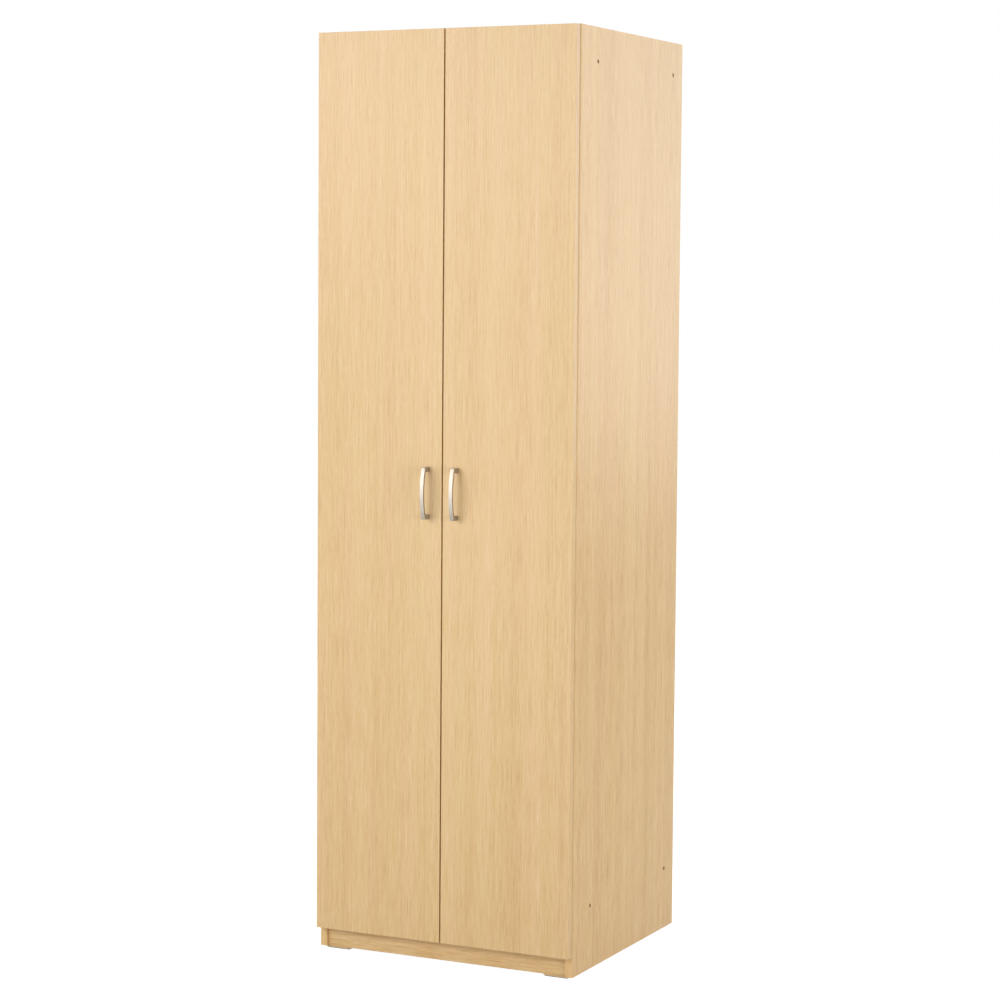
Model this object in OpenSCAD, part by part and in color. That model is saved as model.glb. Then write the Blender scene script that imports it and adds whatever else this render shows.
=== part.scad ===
// Narrow two-door wardrobe, 550 wide, 1800 tall and 511 deep over the doors.
// Flat-pack carcass of foil-faced boards with a hat shelf and a hanger rail behind two
// overlay doors, each on three concealed cup hinges.
// Origin: middle of the bounding box, on the floor. +X right, front faces -Y, +Z up.
// A hinge is drawn in its own frame: x inwards from the side panel's outer face,
// y backwards from the carcass front, z from the hinge's middle. The right side mirrors it.

/* [Carcass] */
// Overall width over the side panels
body_w = 550; // [450:1:900]
// Overall height above the floor
body_h = 1800; // [1500:1:2200]
// Depth of the side panels
carcass_d = 494; // [400:1:600]
// Thickness of the side, top, bottom, shelf and plinth boards
board_t = 15; // [14:0.5:18]
// Height of the plinth boards
plinth_h = 38.5; // [36:0.5:90]
// Set-back of the front plinth from the side panels' front edge
plinth_inset = 6; // [2:0.5:40]
// Set-back of the rear plinth from the side panels' rear edge
rear_plinth_inset = 14; // [10:0.5:40]
// Thickness of the back panel
back_t = 3; // [2.5:0.1:6]
// Distance from the rear edge to the back panel
back_inset = 9; // [6:0.5:20]
// Depth of the grooves that hold the back panel
groove_deep = 6; // [3:0.5:8]
// Gap beside the back panel in its grooves
groove_gap = 0.2; // [0.1:0.05:0.4]

/* [Feet] */
// Side of a square foot pad
foot_side = 51; // [40:1:70]
// Thickness of the plastic foot pad
foot_pad_t = 3; // [2:0.5:6]
// Thickness of the rubber sole
sole_t = 1.5; // [1:0.5:4]
// Inset of the sole from the edge of the pad
sole_inset = 2; // [1:0.5:5]
// Distance from the side panel's outer face to the foot
foot_from_side = 12; // [5:0.5:14]
// Length of a foot's two upright walls
foot_wall_l = 24; // [18:1:36]
// Height of a foot's two upright walls
foot_wall_h = 30; // [20:1:35]
// Thickness of a foot's two upright walls
foot_wall_t = 3; // [2:0.5:5]
// Distance from a foot's inner corner to its screws
foot_screw_in = 14.5; // [11:0.5:15]

/* [Inside] */
// Distance from the top of the wardrobe to the top of the hat shelf
shelf_drop = 305; // [220:1:450]
// Set-back of the hat shelf from the carcass front
shelf_inset = 20; // [15:1:60]
// Gap between the hat shelf and the back panel
shelf_back_gap = 0.5; // [0.2:0.1:3]
// Outer diameter of the hanger rail
rail_d = 25; // [20:0.5:32]
// Wall of the hanger rail
rail_wall = 1; // [0.8:0.1:2]
// Distance from the underside of the shelf to the rail's middle
rail_drop = 55; // [40:1:90]
// Diameter of a rail socket's flange
socket_flange_d = 52; // [48:1:62]
// Thickness of a rail socket's flange
socket_flange_t = 3; // [2:0.5:5]
// Length of a rail socket's collar beyond its flange
socket_collar_l = 12; // [8:1:20]
// Wall of a rail socket's collar
socket_wall = 2; // [1.5:0.5:4]
// Gap round the rail in its sockets
rail_gap = 0.1; // [0.05:0.05:0.3]
// Distance from the rail's middle to a socket screw
socket_screw_r = 20.5; // [19:0.5:23]

/* [Link holes] */
// Diameter of the four holes through each side panel
link_d = 8; // [5:0.5:12]
// Distance from the carcass front to the front pair of link holes
link_front = 79; // [70:1:120]
// Distance between the front and rear link holes
link_pitch_y = 368; // [200:1:390]
// Height of the lower link holes
link_low = 128; // [110:1:135]
// Distance between the lower and upper link holes
link_pitch_z = 1608; // [1300:1:1612]

/* [Doors] */
// Thickness of the doors
door_t = 15; // [14.5:0.5:18]
// Gap between the closed doors and the carcass
door_gap = 2; // [1.8:0.1:2.5]
// Distance from the side panel's outer face to the door's edge
door_reveal = 1; // [0.5:0.1:1.5]
// Gap between the two doors
door_mid_gap = 3; // [2:0.5:6]
// Distance from the top of the carcass to the top of the doors
door_top_drop = 1; // [0.5:0.5:8]
// Distance from the underside of the bottom board to the bottom of the doors
door_bottom_lift = 1; // [0.5:0.5:6]
// Diameter of the door bumpers
bumper_d = 8; // [6:0.5:9]
// Gap between a closed door's bumper and the carcass
bumper_gap = 0.1; // [0.05:0.05:0.3]
// Distance from the door's free edge to the bumpers
bumper_in = 24; // [10:1:60]

/* [Handles] */
// Overall length of a handle
handle_l = 100; // [80:1:160]
// Width of a handle's bar and feet
handle_w = 8; // [7:0.5:14]
// Reach of a handle's middle off the door
handle_reach = 27; // [24:0.5:32]
// Reach of a handle's ends off the door
handle_end_reach = 19; // [16:0.5:22]
// Thickness of a handle's bar
handle_bar_t = 5; // [4:0.5:7]
// Length of a handle's foot along the door
handle_foot_l = 9; // [8:0.5:14]
// Distance from the wardrobe's middle to a handle's middle
handle_from_mid = 31; // [25:1:60]
// Height of the handles' middle
handle_z = 917; // [700:1:1100]
// Diameter of the handle screws
handle_screw_d = 4; // [3:0.5:5]
// Depth that a handle screw reaches into the handle
handle_screw_in = 10; // [6:0.5:13]

/* [Hinges] */
// Distance from the top of the door to the top hinge
hinge_top = 120; // [90:1:150]
// Distance from the bottom of the door to the bottom hinge
hinge_bottom = 120; // [100:1:150]
// Diameter of the hinge cup
cup_d = 35; // [35:0.1:36]
// Depth of the hinge cup
cup_deep = 11.5; // [11.2:0.1:12]
// Distance from the door's edge to the cup hole
cup_edge = 4.5; // [4.5:0.1:4.8]
// Thickness of the cup's wall and floor
cup_wall = 1.2; // [1:0.1:1.3]
// Thickness of the cup's flange
flange_t = 0.8; // [0.6:0.1:1]
// Distance between the two screws of a cup
cup_screw_pitch = 45; // [45:1:48]
// Distance from the cup's middle to the line of its screws
cup_screw_in = 9.5; // [8:0.5:10]
// Diameter of the hinge pins
pin_d = 2; // [1.8:0.1:2.1]
// Outer link's pin in the arm: inward from the side panel's outer face
arm_pin_a_in = 35; // [34.8:0.1:35.1]
// Outer link's pin in the arm: behind the carcass front
arm_pin_a_back = 3; // [2.8:0.1:3.2]
// Inner link's pin in the arm: inward from the side panel's outer face
arm_pin_b_in = 35; // [34.8:0.1:35.1]
// Inner link's pin in the arm: in front of the carcass front
arm_pin_b_front = 6.5; // [6.3:0.1:6.7]
// Outer link's pins in the cup: inward from the side panel's outer face
cup_pin_a_in = 13; // [12.9:0.1:13.2]
// Outer link's pins in the cup: in front of the carcass front
cup_pin_a_front = 4.2; // [4.1:0.1:4.4]
// Inner link's pin in the cup: inward from the side panel's outer face
cup_pin_b_in = 14.5; // [14.4:0.1:14.7]
// Inner link's pin in the cup: in front of the carcass front
cup_pin_b_front = 8.3; // [8.2:0.1:8.5]
// Free play round the inner link's pin in the cup
link_play = 1.5; // [1.5:0.05:1.55]
// Running clearance of the other hinge pins, on the radius
pin_gap = 0.05; // [0.03:0.01:0.09]
// Radius of the links' and the arm's eyes
eye_r = 2.4; // [2.2:0.1:2.4]
// Half of the space between the arm's cheeks
arm_inner = 5; // [4.8:0.1:5]
// Thickness of the arm's cheeks and web
arm_t = 1.5; // [1.2:0.1:1.5]
// Distance from the side panel's inner face to the top of the arm's web
arm_rise = 12.5; // [11:0.5:13]
// Length of the arm behind the carcass front
arm_l = 62; // [58:1:70]
// Half of the inner link's width
inner_link_half = 3.6; // [3:0.1:3.8]
// Gap between the arm and the outer link's plates
link_side_gap = 0.5; // [0.3:0.1:0.7]
// Thickness of the outer link's plates
outer_link_t = 1.2; // [1:0.1:1.4]
// Thickness of the hinge plate on the side panel
plate_t = 2; // [1.5:0.1:2.5]
// Distance from the carcass front to the hinge plate's screws
plate_line = 37; // [37:0.5:39]
// Distance between the hinge plate's two screws
plate_screw_pitch = 32; // [28:1:36]

/* [Fixings] */
// Diameter of the wooden dowels
dowel_d = 8; // [6:0.5:8]
// Length of the wooden dowels
dowel_l = 30; // [25:1:35]
// Depth of a dowel in the side panel
dowel_in_side = 11; // [8:0.5:12]
// Diameter of the cams
cam_d = 15; // [12:0.5:15]
// Height of the cams
cam_h = 12; // [10:0.5:12.5]
// Distance from a board's end to its cams
cam_in = 34; // [28:1:40]
// Height of a plinth's cam bolts above its lower edge
plinth_bolt_up = 13; // [10:0.5:15]
// Height of a plinth's dowels above its lower edge
plinth_dowel_up = 29; // [27:0.5:31]
// Diameter of a cam bolt's shaft
bolt_d = 6; // [5:0.5:7]
// Diameter of a cam bolt's thread in the side panel
bolt_thread_d = 5; // [4:0.5:6]
// Depth of a cam bolt's thread in the side panel
bolt_thread_l = 11; // [8:0.5:12]
// Distance from the carcass front or rear to the nearest cam bolt
bolt_from_edge = 70; // [60:1:80]
// Distance from a cam bolt to the dowel beside it
dowel_beside = 32; // [25:1:40]
// Diameter of the small wood screws
screw_d = 3.5; // [3:0.1:4]
// Depth of the small wood screws in a board
screw_in = 10; // [8:0.5:11]
// Diameter of the small wood screws' heads
screw_head_d = 7; // [6:0.5:7.5]
// Height of the small wood screws' heads
screw_head_h = 1.6; // [1.2:0.1:2]
// Gap between a fixing and its hole, on the radius
fix_gap = 0.05; // [0.03:0.01:0.1]

/* [Hidden] */
$fn = 64;
eps = 0.5;

foil = "#ead0a2";
foil_edge = "#dcbb86";
nickel = "#c9c6bf";
steel = "#b9bcc0";
zinc = "#a9acb0";
beech = "#d9b98a";
hardboard = "#e6dccb";
foot_plastic = "#c7ad86";
rubber = "#4a4846";

// Planes of the carcass
total_d = handle_reach + door_t + door_gap + carcass_d;
front_y = handle_reach + door_t + door_gap - total_d / 2;
back_y = front_y + carcass_d;
inner_w = body_w - 2 * board_t;
inner_x = inner_w / 2;
side_z = foot_pad_t + sole_t;
bottom_z = side_z + plinth_h;
floor_z = bottom_z + board_t;
top_z = body_h - board_t;
shelf_z = body_h - shelf_drop - board_t;
back_panel_y = back_y - back_inset - back_t;
plinth_y = front_y + plinth_inset;
rear_plinth_y = back_y - rear_plinth_inset - board_t;

// Lines of the fixings
bolt_ys = [front_y + bolt_from_edge, back_y - bolt_from_edge];
dowel_ys = [bolt_ys[0] + dowel_beside, bolt_ys[1] - dowel_beside];
board_zs = [bottom_z, shelf_z, top_z];
plinth_ys = [plinth_y + board_t / 2, rear_plinth_y + board_t / 2];
plinth_bolt_z = side_z + plinth_bolt_up;
plinth_dowel_z = side_z + plinth_dowel_up;
dowel_end_gap = 0.5;

// Doors and handles
door_w = (body_w - 2 * door_reveal - door_mid_gap) / 2;
door_z = bottom_z + door_bottom_lift;
door_h = body_h - door_top_drop - door_z;
door_back = -door_gap;
door_front = -door_gap - door_t;
handle_rise = handle_reach - handle_end_reach;
handle_r = (pow(handle_l / 2, 2) + pow(handle_rise, 2)) / (2 * handle_rise);
handle_screw_z = (handle_l - handle_foot_l) / 2;
handle_in = body_w / 2 - handle_from_mid;
handle_screw_head_d = 8;
handle_screw_head_h = 2.2;

// Hinges, in the hinge's own frame
hinge_zs = [
    door_z + hinge_bottom,
    door_z + (door_h + hinge_bottom - hinge_top) / 2,
    door_z + door_h - hinge_top
];
cup_x = door_reveal + cup_edge + cup_d / 2;
arm_pin_a = [arm_pin_a_in, arm_pin_a_back];
arm_pin_b = [arm_pin_b_in, -arm_pin_b_front];
cup_pin_a = [cup_pin_a_in, -cup_pin_a_front];
cup_pin_b = [cup_pin_b_in, -cup_pin_b_front];
// The inner link's hole lies in the middle of the path that its pin takes in it
link_hole_shift = [-0.32, -0.34];
link_hole_b = cup_pin_b + link_hole_shift;
link_ring = 0.75;
pin_r = pin_d / 2;
arm_outer = arm_inner + arm_t;
outer_link_z = arm_outer + link_side_gap;
arm_top = board_t + arm_rise;
arm_under = arm_top - arm_t;
arm_clear_plate = 1;
arm_screw_from_end = [32, 12];
arm_screw_ys = [for (d = arm_screw_from_end) arm_l - d];
arm_screw_d = 4;
arm_screw_head_d = 7;
arm_screw_head_h = 1.8;
// The arm's web and full-height cheeks end this far behind the carcass front
arm_web_start = 22;
arm_neck_start = 8;
arm_heel = 14;
arm_heel_chamfer = [6, 2];
// The hinge plate: a strip with a ridge that the arm sits over, and two round wings
plate_wing = 12;
plate_strip_half = 8.4;
plate_strip_l = 44;
plate_ridge_l = 42;
plate_ridge_gap = 0.3;
plate_ridge_half = arm_inner - plate_ridge_gap;
// Bow of the links towards the cup's floor: [distance from the cup's pin, bow]
outer_bow = [[3.2, 2.6], [8, 3.6], [16, 2.6]];
inner_bow = [[3.6, 2.4], [9, 2.6], [16, 1.6]];
outer_bar_half = 1.1;
inner_bar_half = 1;
flange_rim = 1;
ear_r = 6;
// The pins stop inside the cup's round wall
cup_bore_r = cup_d / 2 - cup_wall;
function wall_half(x, r) = sqrt(pow(r, 2) - pow(cup_x - x, 2));
cup_pin_short = 0.15;
cup_pin_a_end = wall_half(cup_pin_a_in - pin_r, cup_d / 2) - cup_pin_short;
cup_pin_b_end = wall_half(cup_pin_b_in - pin_r, cup_d / 2) - cup_pin_short;
arm_pin_a_proud = 0.4;
arm_pin_b_proud = 0.2;

// Shared shapes

// A cylinder along +X
module rod_x(d, l) {
    rotate([0, 90, 0]) cylinder(d = d, h = l);
}

// A cylinder along +Y
module rod_y(d, l) {
    rotate([-90, 0, 0]) cylinder(d = d, h = l);
}

// Children on both sides of the wardrobe, drawn for the right side
module both_sides() {
    children();
    mirror([1, 0, 0]) children();
}

// Children at the three hinges of the left door, in the hinge's frame
module at_left_hinges() {
    for (z = hinge_zs) translate([-body_w / 2, front_y, z]) children();
}

// Children at the four feet; the plinth's outer face is y = 0 and the side's outer face x = 0
module at_feet() {
    for (left = [0, 1]) mirror([left, 0, 0]) {
        translate([body_w / 2, plinth_y, 0]) mirror([1, 0, 0]) children();
        translate([body_w / 2, rear_plinth_y + board_t, 0]) mirror([1, 0, 0]) mirror([0, 1, 0]) children();
    }
}

// A small wood screw along -Z, its head standing on z = 0
module wood_screw(through) {
    cylinder(d = screw_head_d, h = screw_head_h);
    translate([0, 0, -through - screw_in]) cylinder(d = screw_d, h = through + screw_in + eps);
}

// The hole of a small wood screw that stands on z = 0 over a plate of the given thickness
module wood_screw_hole(through) {
    translate([0, 0, -through - screw_in - fix_gap]) {
        cylinder(d = screw_d + 2 * fix_gap, h = through + screw_in + fix_gap + eps);
    }
}

// Carcass fixings, drawn for the right side

// Positions of the dowels' and cam bolts' middle lines, where the board meets the side
module at_dowels() {
    for (z = board_zs) for (y = dowel_ys) translate([inner_x, y, z + board_t / 2]) children();
    for (y = plinth_ys) translate([inner_x, y, plinth_dowel_z]) children();
}

module at_bolts() {
    for (z = board_zs) for (y = bolt_ys) translate([inner_x, y, z + board_t / 2]) children();
    for (y = plinth_ys) translate([inner_x, y, plinth_bolt_z]) children();
}

module dowel_shape(grow) {
    translate([dowel_in_side - dowel_l - grow, 0, 0]) {
        rod_x(dowel_d + 2 * min(grow, fix_gap), dowel_l + 2 * grow);
    }
}

module bolt_shape(grow) {
    translate([-cam_in, 0, 0]) rod_x(bolt_d + 2 * grow, cam_in);
    translate([-eps, 0, 0]) rod_x(bolt_thread_d + 2 * grow, bolt_thread_l + eps + grow);
}

// A cam stands in a blind hole in the board's underside; grow widens it to that hole
module cam_shape(grow) {
    translate([-cam_in, 0, -board_t / 2 - (grow > 0 ? eps : 0)]) {
        cylinder(d = cam_d + 2 * grow, h = cam_h + (grow > 0 ? eps + grow : 0));
    }
}

// Cam sites: the boards' cams open downwards, the plinths' cams open inwards
module at_cams() {
    for (z = board_zs) for (y = bolt_ys) translate([inner_x, y, z + board_t / 2]) children();
    translate([inner_x, plinth_ys[0], plinth_bolt_z]) rotate([90, 0, 0]) children();
    translate([inner_x, plinth_ys[1], plinth_bolt_z]) rotate([-90, 0, 0]) children();
}

// All holes that the fixings need, to be taken from any board
module fixing_holes() {
    both_sides() {
        at_dowels() dowel_shape(dowel_end_gap);
        at_bolts() bolt_shape(fix_gap);
    }
}

module cam_holes() {
    both_sides() at_cams() cam_shape(fix_gap);
}

// The grooves that the back panel stands in
module back_groove() {
    translate([-inner_x - groove_deep, back_panel_y - groove_gap, floor_z - groove_deep]) {
        cube([inner_w + 2 * groove_deep, back_t + 2 * groove_gap, top_z - floor_z + 2 * groove_deep]);
    }
}

// Boards

module side_panel_right() {
    difference() {
        translate([inner_x, front_y, side_z]) cube([board_t, carcass_d, body_h - side_z]);
        back_groove();
        fixing_holes();
        for (i = [0, 1], j = [0, 1]) {
            translate([inner_x - eps, front_y + link_front + i * link_pitch_y, link_low + j * link_pitch_z]) {
                rod_x(link_d, board_t + 2 * eps);
            }
        }
        mirror([1, 0, 0]) at_left_hinges() at_plate_screws() plate_screw_hole();
        rail_socket_sites() wood_screw_hole(socket_flange_t);
        at_feet() foot_side_screw_site() wood_screw_hole(foot_wall_t);
    }
}

module left_side_panel() {
    color(foil) mirror([1, 0, 0]) side_panel_right();
}

module right_side_panel() {
    color(foil) side_panel_right();
}

module flat_board(z, y, depth) {
    difference() {
        translate([-inner_x, y, z]) cube([inner_w, depth, board_t]);
        back_groove();
        fixing_holes();
        cam_holes();
    }
}

module top_panel() {
    color(foil) flat_board(top_z, front_y, carcass_d);
}

module bottom_panel() {
    color(foil) flat_board(bottom_z, front_y, carcass_d);
}

module hat_shelf() {
    shelf_y = front_y + shelf_inset;
    color(foil) flat_board(shelf_z, shelf_y, back_panel_y - shelf_back_gap - shelf_y);
}

module plinth_at(y) {
    difference() {
        translate([-inner_x, y, side_z]) cube([inner_w, board_t, plinth_h]);
        fixing_holes();
        cam_holes();
        at_feet() foot_plinth_screw_site() wood_screw_hole(foot_wall_t);
    }
}

module plinth_board() {
    color(foil_edge) plinth_at(plinth_y);
}

module rear_plinth_board() {
    color(foil_edge) plinth_at(rear_plinth_y);
}

module back_panel() {
    edge = groove_deep - groove_gap;
    color(hardboard) translate([-inner_x - edge, back_panel_y, floor_z - edge]) {
        cube([inner_w + 2 * edge, back_t, top_z - floor_z + 2 * edge]);
    }
}

module panel_dowels() {
    color(beech) both_sides() at_dowels() dowel_shape(0);
}

module cam_bolts() {
    color(steel) both_sides() at_bolts() bolt_shape(0);
}

module cam_locks() {
    slot_w = 1.2;
    slot_l = 9;
    slot_deep = 2;
    color(zinc) difference() {
        both_sides() at_cams() cam_shape(0);
        both_sides() at_bolts() translate([-cam_in - fix_gap, 0, 0]) rod_x(bolt_d + 2 * fix_gap, cam_in);
        both_sides() at_cams() for (a = [0, 90]) {
            translate([-cam_in, 0, -board_t / 2]) rotate([0, 0, a]) {
                cube([slot_l, slot_w, 2 * slot_deep], center = true);
            }
        }
    }
}

// Hanger rail

rail_y = (front_y + shelf_inset + back_panel_y) / 2;
rail_z = shelf_z - rail_drop;
rail_l = inner_w - 2 * socket_flange_t - 2 * rail_gap;

module hanger_rail() {
    color(nickel) translate([-rail_l / 2, rail_y, rail_z]) difference() {
        rod_x(rail_d, rail_l);
        translate([-eps, 0, 0]) rod_x(rail_d - 2 * rail_wall, rail_l + 2 * eps);
    }
}

// A right socket's screw sites: the screws run along +X into the side
module rail_socket_sites() {
    for (a = [0, 180]) translate([inner_x - socket_flange_t, rail_y, rail_z]) rotate([a, 0, 0]) {
        translate([0, socket_screw_r, 0]) rotate([0, -90, 0]) children();
    }
}

module rail_sockets() {
    collar_d = rail_d + 2 * rail_gap + 2 * socket_wall;
    color(zinc) both_sides() difference() {
        translate([inner_x, rail_y, rail_z]) mirror([1, 0, 0]) {
            rod_x(socket_flange_d, socket_flange_t);
            rod_x(collar_d, socket_flange_t + socket_collar_l);
        }
        translate([inner_x - socket_flange_t, rail_y, rail_z]) mirror([1, 0, 0]) {
            rod_x(rail_d + 2 * rail_gap, socket_collar_l + eps);
        }
        rail_socket_sites() wood_screw_hole(socket_flange_t);
    }
}

module rail_socket_screws() {
    color(steel) both_sides() rail_socket_sites() wood_screw(socket_flange_t);
}

// Feet

module foot_side_screw_site() {
    translate([board_t + foot_wall_t, board_t + foot_screw_in, side_z + foot_wall_h / 2]) {
        rotate([0, 90, 0]) children();
    }
}

module foot_plinth_screw_site() {
    translate([board_t + foot_screw_in, board_t + foot_wall_t, (plinth_bolt_z + plinth_dowel_z) / 2]) {
        rotate([-90, 0, 0]) children();
    }
}

module corner_feet() {
    color(foot_plastic) at_feet() difference() {
        union() {
            translate([foot_from_side, 0, sole_t]) cube([foot_side, foot_side, foot_pad_t]);
            translate([board_t, board_t, side_z - foot_pad_t]) {
                cube([foot_wall_t, foot_wall_l, foot_wall_h + foot_pad_t]);
                cube([foot_wall_l, foot_wall_t, foot_wall_h + foot_pad_t]);
            }
        }
        foot_side_screw_site() wood_screw_hole(foot_wall_t);
        foot_plinth_screw_site() wood_screw_hole(foot_wall_t);
    }
}

module foot_soles() {
    sole_side = foot_side - 2 * sole_inset;
    color(rubber) at_feet() translate([foot_from_side + sole_inset, sole_inset, 0]) {
        cube([sole_side, sole_side, sole_t]);
    }
}

module foot_screws() {
    color(steel) at_feet() {
        foot_side_screw_site() wood_screw(foot_wall_t);
        foot_plinth_screw_site() wood_screw(foot_wall_t);
    }
}

// Hinges, left side, in the hinge's own frame

// A pin along Z through the point p, from z = from to z = to
module hinge_pin(p, d, from, to) {
    translate([p[0], p[1], from]) cylinder(d = d, h = to - from);
}

// Sites of a hinge plate's screws: the screws run along -X into the side panel
module at_plate_screws() {
    for (side = [-1, 1]) translate([board_t + plate_t, plate_line, side * plate_screw_pitch / 2]) {
        rotate([0, 90, 0]) children();
    }
}

module plate_screw_hole() {
    wood_screw_hole(plate_t);
}

// Sites of an arm's screws: the screws run along -X through the arm's web
module at_arm_screws() {
    for (y = arm_screw_ys) translate([arm_top, y, 0]) rotate([0, 90, 0]) children();
}

arm_screw_l = arm_top - board_t - plate_t;

// The hole of an arm's screw, from above the web down to the given depth and a bit beyond
module arm_screw_hole(depth, beyond) {
    translate([0, 0, -depth - beyond]) cylinder(d = arm_screw_d + 2 * fix_gap, h = depth + beyond + eps);
}

module hinge_plate() {
    difference() {
        union() {
            translate([board_t, arm_l - plate_strip_l, -plate_strip_half]) {
                cube([plate_t, plate_strip_l + eps, 2 * plate_strip_half]);
            }
            translate([board_t, plate_line - plate_wing / 2, -plate_screw_pitch / 2]) {
                cube([plate_t, plate_wing, plate_screw_pitch]);
            }
            for (side = [-1, 1]) translate([board_t, plate_line, side * plate_screw_pitch / 2]) {
                rod_x(plate_wing, plate_t);
            }
            translate([board_t, arm_l - plate_ridge_l, -plate_ridge_half]) {
                cube([arm_under - board_t, plate_ridge_l, 2 * plate_ridge_half]);
            }
        }
        at_plate_screws() plate_screw_hole();
        at_arm_screws() arm_screw_hole(arm_screw_l, 0);
    }
}

module arm_cheek_outline() {
    low = board_t + plate_t + arm_clear_plate;
    polygon([
        [low, arm_l], [arm_top, arm_l], [arm_top, arm_web_start], [arm_pin_a[0] + eye_r, arm_neck_start],
        [arm_pin_b[0] + eye_r, arm_pin_b[1]], [arm_pin_b[0] - eye_r, arm_pin_b[1]],
        [arm_pin_a[0] - eye_r, arm_pin_a[1]],
        [low + arm_heel_chamfer[0], arm_heel - arm_heel_chamfer[1]], [low, arm_heel]
    ]);
    translate(arm_pin_b) circle(eye_r);
}

module hinge_arm() {
    difference() {
        union() {
            for (z = [-arm_outer, arm_inner]) translate([0, 0, z]) linear_extrude(arm_t) arm_cheek_outline();
            translate([arm_under, arm_web_start, -arm_outer]) {
                cube([arm_t, arm_l - arm_web_start, 2 * arm_outer]);
            }
        }
        for (p = [arm_pin_a, arm_pin_b]) hinge_pin(p, pin_d + 2 * fix_gap, -arm_outer - eps, arm_outer + eps);
        at_arm_screws() arm_screw_hole(arm_t, eps);
    }
}

module arm_screw() {
    slot = 1;
    slot_l = 4.2;
    difference() {
        cylinder(d = arm_screw_head_d, h = arm_screw_head_h);
        for (a = [0, 90]) rotate([0, 0, a]) translate([0, 0, arm_screw_head_h]) {
            cube([slot_l, slot, 2 * slot], center = true);
        }
    }
    translate([0, 0, -arm_screw_l + eps]) cylinder(d = arm_screw_d, h = arm_screw_l);
}

// Unit vector across the step from a to b
function across(a, b) = [a[1] - b[1], b[0] - a[0]] / norm(b - a);

// Where the edge of a bar lies beside point i of its middle line p, at a half width of 1
function beside(p, i) =
    let (n = across(p[max(i - 1, 0)], p[max(i, 1)]))
    let (m = i < len(p) - 1 ? across(p[i], p[i + 1]) : n)
    (n + m) / (1 + n * m);

// A flat bar through the points, with mitred corners
module bar(p, half) {
    last = len(p) - 1;
    polygon(concat(
        [for (i = [0 : last]) p[i] + half * beside(p, i)],
        [for (i = [last : -1 : 0]) p[i] - half * beside(p, i)]
    ));
}

// The point at a distance from a on the way to b
function towards(a, b, distance) = a + (b - a) * distance / norm(b - a);

module eye(r, hole_r) {
    difference() {
        circle(r);
        circle(hole_r);
    }
}

// A link from the cup's pin c to the arm's pin a, bowed towards the cup's floor
module link_outline(c, a, bow, half, cup_hole_r, cup_eye_r) {
    step = a - c;
    end = [norm(step), 0];
    arm_hole_r = pin_r + pin_gap;
    bends = [for (b = bow) [b[0], -b[1]]];
    first = towards([0, 0], bends[0], (cup_hole_r + cup_eye_r) / 2);
    last = towards(end, bends[len(bends) - 1], (arm_hole_r + eye_r) / 2);
    translate(c) rotate(atan2(step[1], step[0])) {
        eye(cup_eye_r, cup_hole_r);
        bar(concat([first], bends, [last]), half);
        translate(end) eye(eye_r, arm_hole_r);
    }
}

module outer_link() {
    for (z = [-outer_link_z - outer_link_t, outer_link_z]) translate([0, 0, z]) {
        linear_extrude(outer_link_t) {
            link_outline(cup_pin_a, arm_pin_a, outer_bow, outer_bar_half, pin_r + pin_gap, eye_r);
        }
    }
}

module inner_link() {
    hole_r = pin_r + link_play;
    translate([0, 0, -inner_link_half]) linear_extrude(2 * inner_link_half) {
        link_outline(link_hole_b, arm_pin_b, inner_bow, inner_bar_half, hole_r, hole_r + link_ring);
    }
}

module flange_outline() {
    translate([cup_x, 0]) circle(cup_d / 2 + flange_rim);
    for (side = [-1, 1]) translate([cup_x + cup_screw_in, side * cup_screw_pitch / 2]) circle(ear_r);
    translate([cup_x + cup_screw_in - ear_r, -cup_screw_pitch / 2]) square([2 * ear_r, cup_screw_pitch]);
}

// Sites of a cup's screws: the screws run along -Y into the door
module at_cup_screws() {
    for (side = [-1, 1]) translate([cup_x + cup_screw_in, door_back + flange_t, side * cup_screw_pitch / 2]) {
        rotate([-90, 0, 0]) children();
    }
}

module hinge_cup() {
    difference() {
        union() {
            translate([cup_x, door_back - cup_deep, 0]) rod_y(cup_d, cup_deep);
            translate([0, door_back + flange_t, 0]) rotate([90, 0, 0]) {
                linear_extrude(flange_t) flange_outline();
            }
        }
        translate([cup_x, door_back - cup_deep + cup_wall, 0]) rod_y(2 * cup_bore_r, cup_deep + flange_t);
        hinge_pin(cup_pin_a, pin_d + 2 * fix_gap, -cup_pin_a_end - fix_gap, cup_pin_a_end + fix_gap);
        hinge_pin(cup_pin_b, pin_d + 2 * fix_gap, -cup_pin_b_end - fix_gap, cup_pin_b_end + fix_gap);
        at_cup_screws() wood_screw_hole(flange_t);
    }
}

module cup_pins() {
    start = outer_link_z - link_side_gap / 2;
    hinge_pin(cup_pin_a, pin_d, start, cup_pin_a_end);
    hinge_pin(cup_pin_a, pin_d, -cup_pin_a_end, -start);
    hinge_pin(cup_pin_b, pin_d, -cup_pin_b_end, cup_pin_b_end);
}

module arm_pins() {
    a_end = outer_link_z + outer_link_t + arm_pin_a_proud;
    b_end = arm_outer + arm_pin_b_proud;
    hinge_pin(arm_pin_a, pin_d, -a_end, a_end);
    hinge_pin(arm_pin_b, pin_d, -b_end, b_end);
}

module left_hinge_plates() {
    color(steel) at_left_hinges() hinge_plate();
}

module left_plate_screws() {
    color(zinc) at_left_hinges() at_plate_screws() wood_screw(plate_t);
}

module left_hinge_arms() {
    color(nickel) at_left_hinges() hinge_arm();
}

module left_arm_screws() {
    color(zinc) at_left_hinges() at_arm_screws() arm_screw();
}

module left_arm_pins() {
    color(steel) at_left_hinges() arm_pins();
}

module left_outer_links() {
    color(nickel) at_left_hinges() outer_link();
}

module left_inner_links() {
    color(nickel) at_left_hinges() inner_link();
}

module left_hinge_cups() {
    color(nickel) at_left_hinges() hinge_cup();
}

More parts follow.
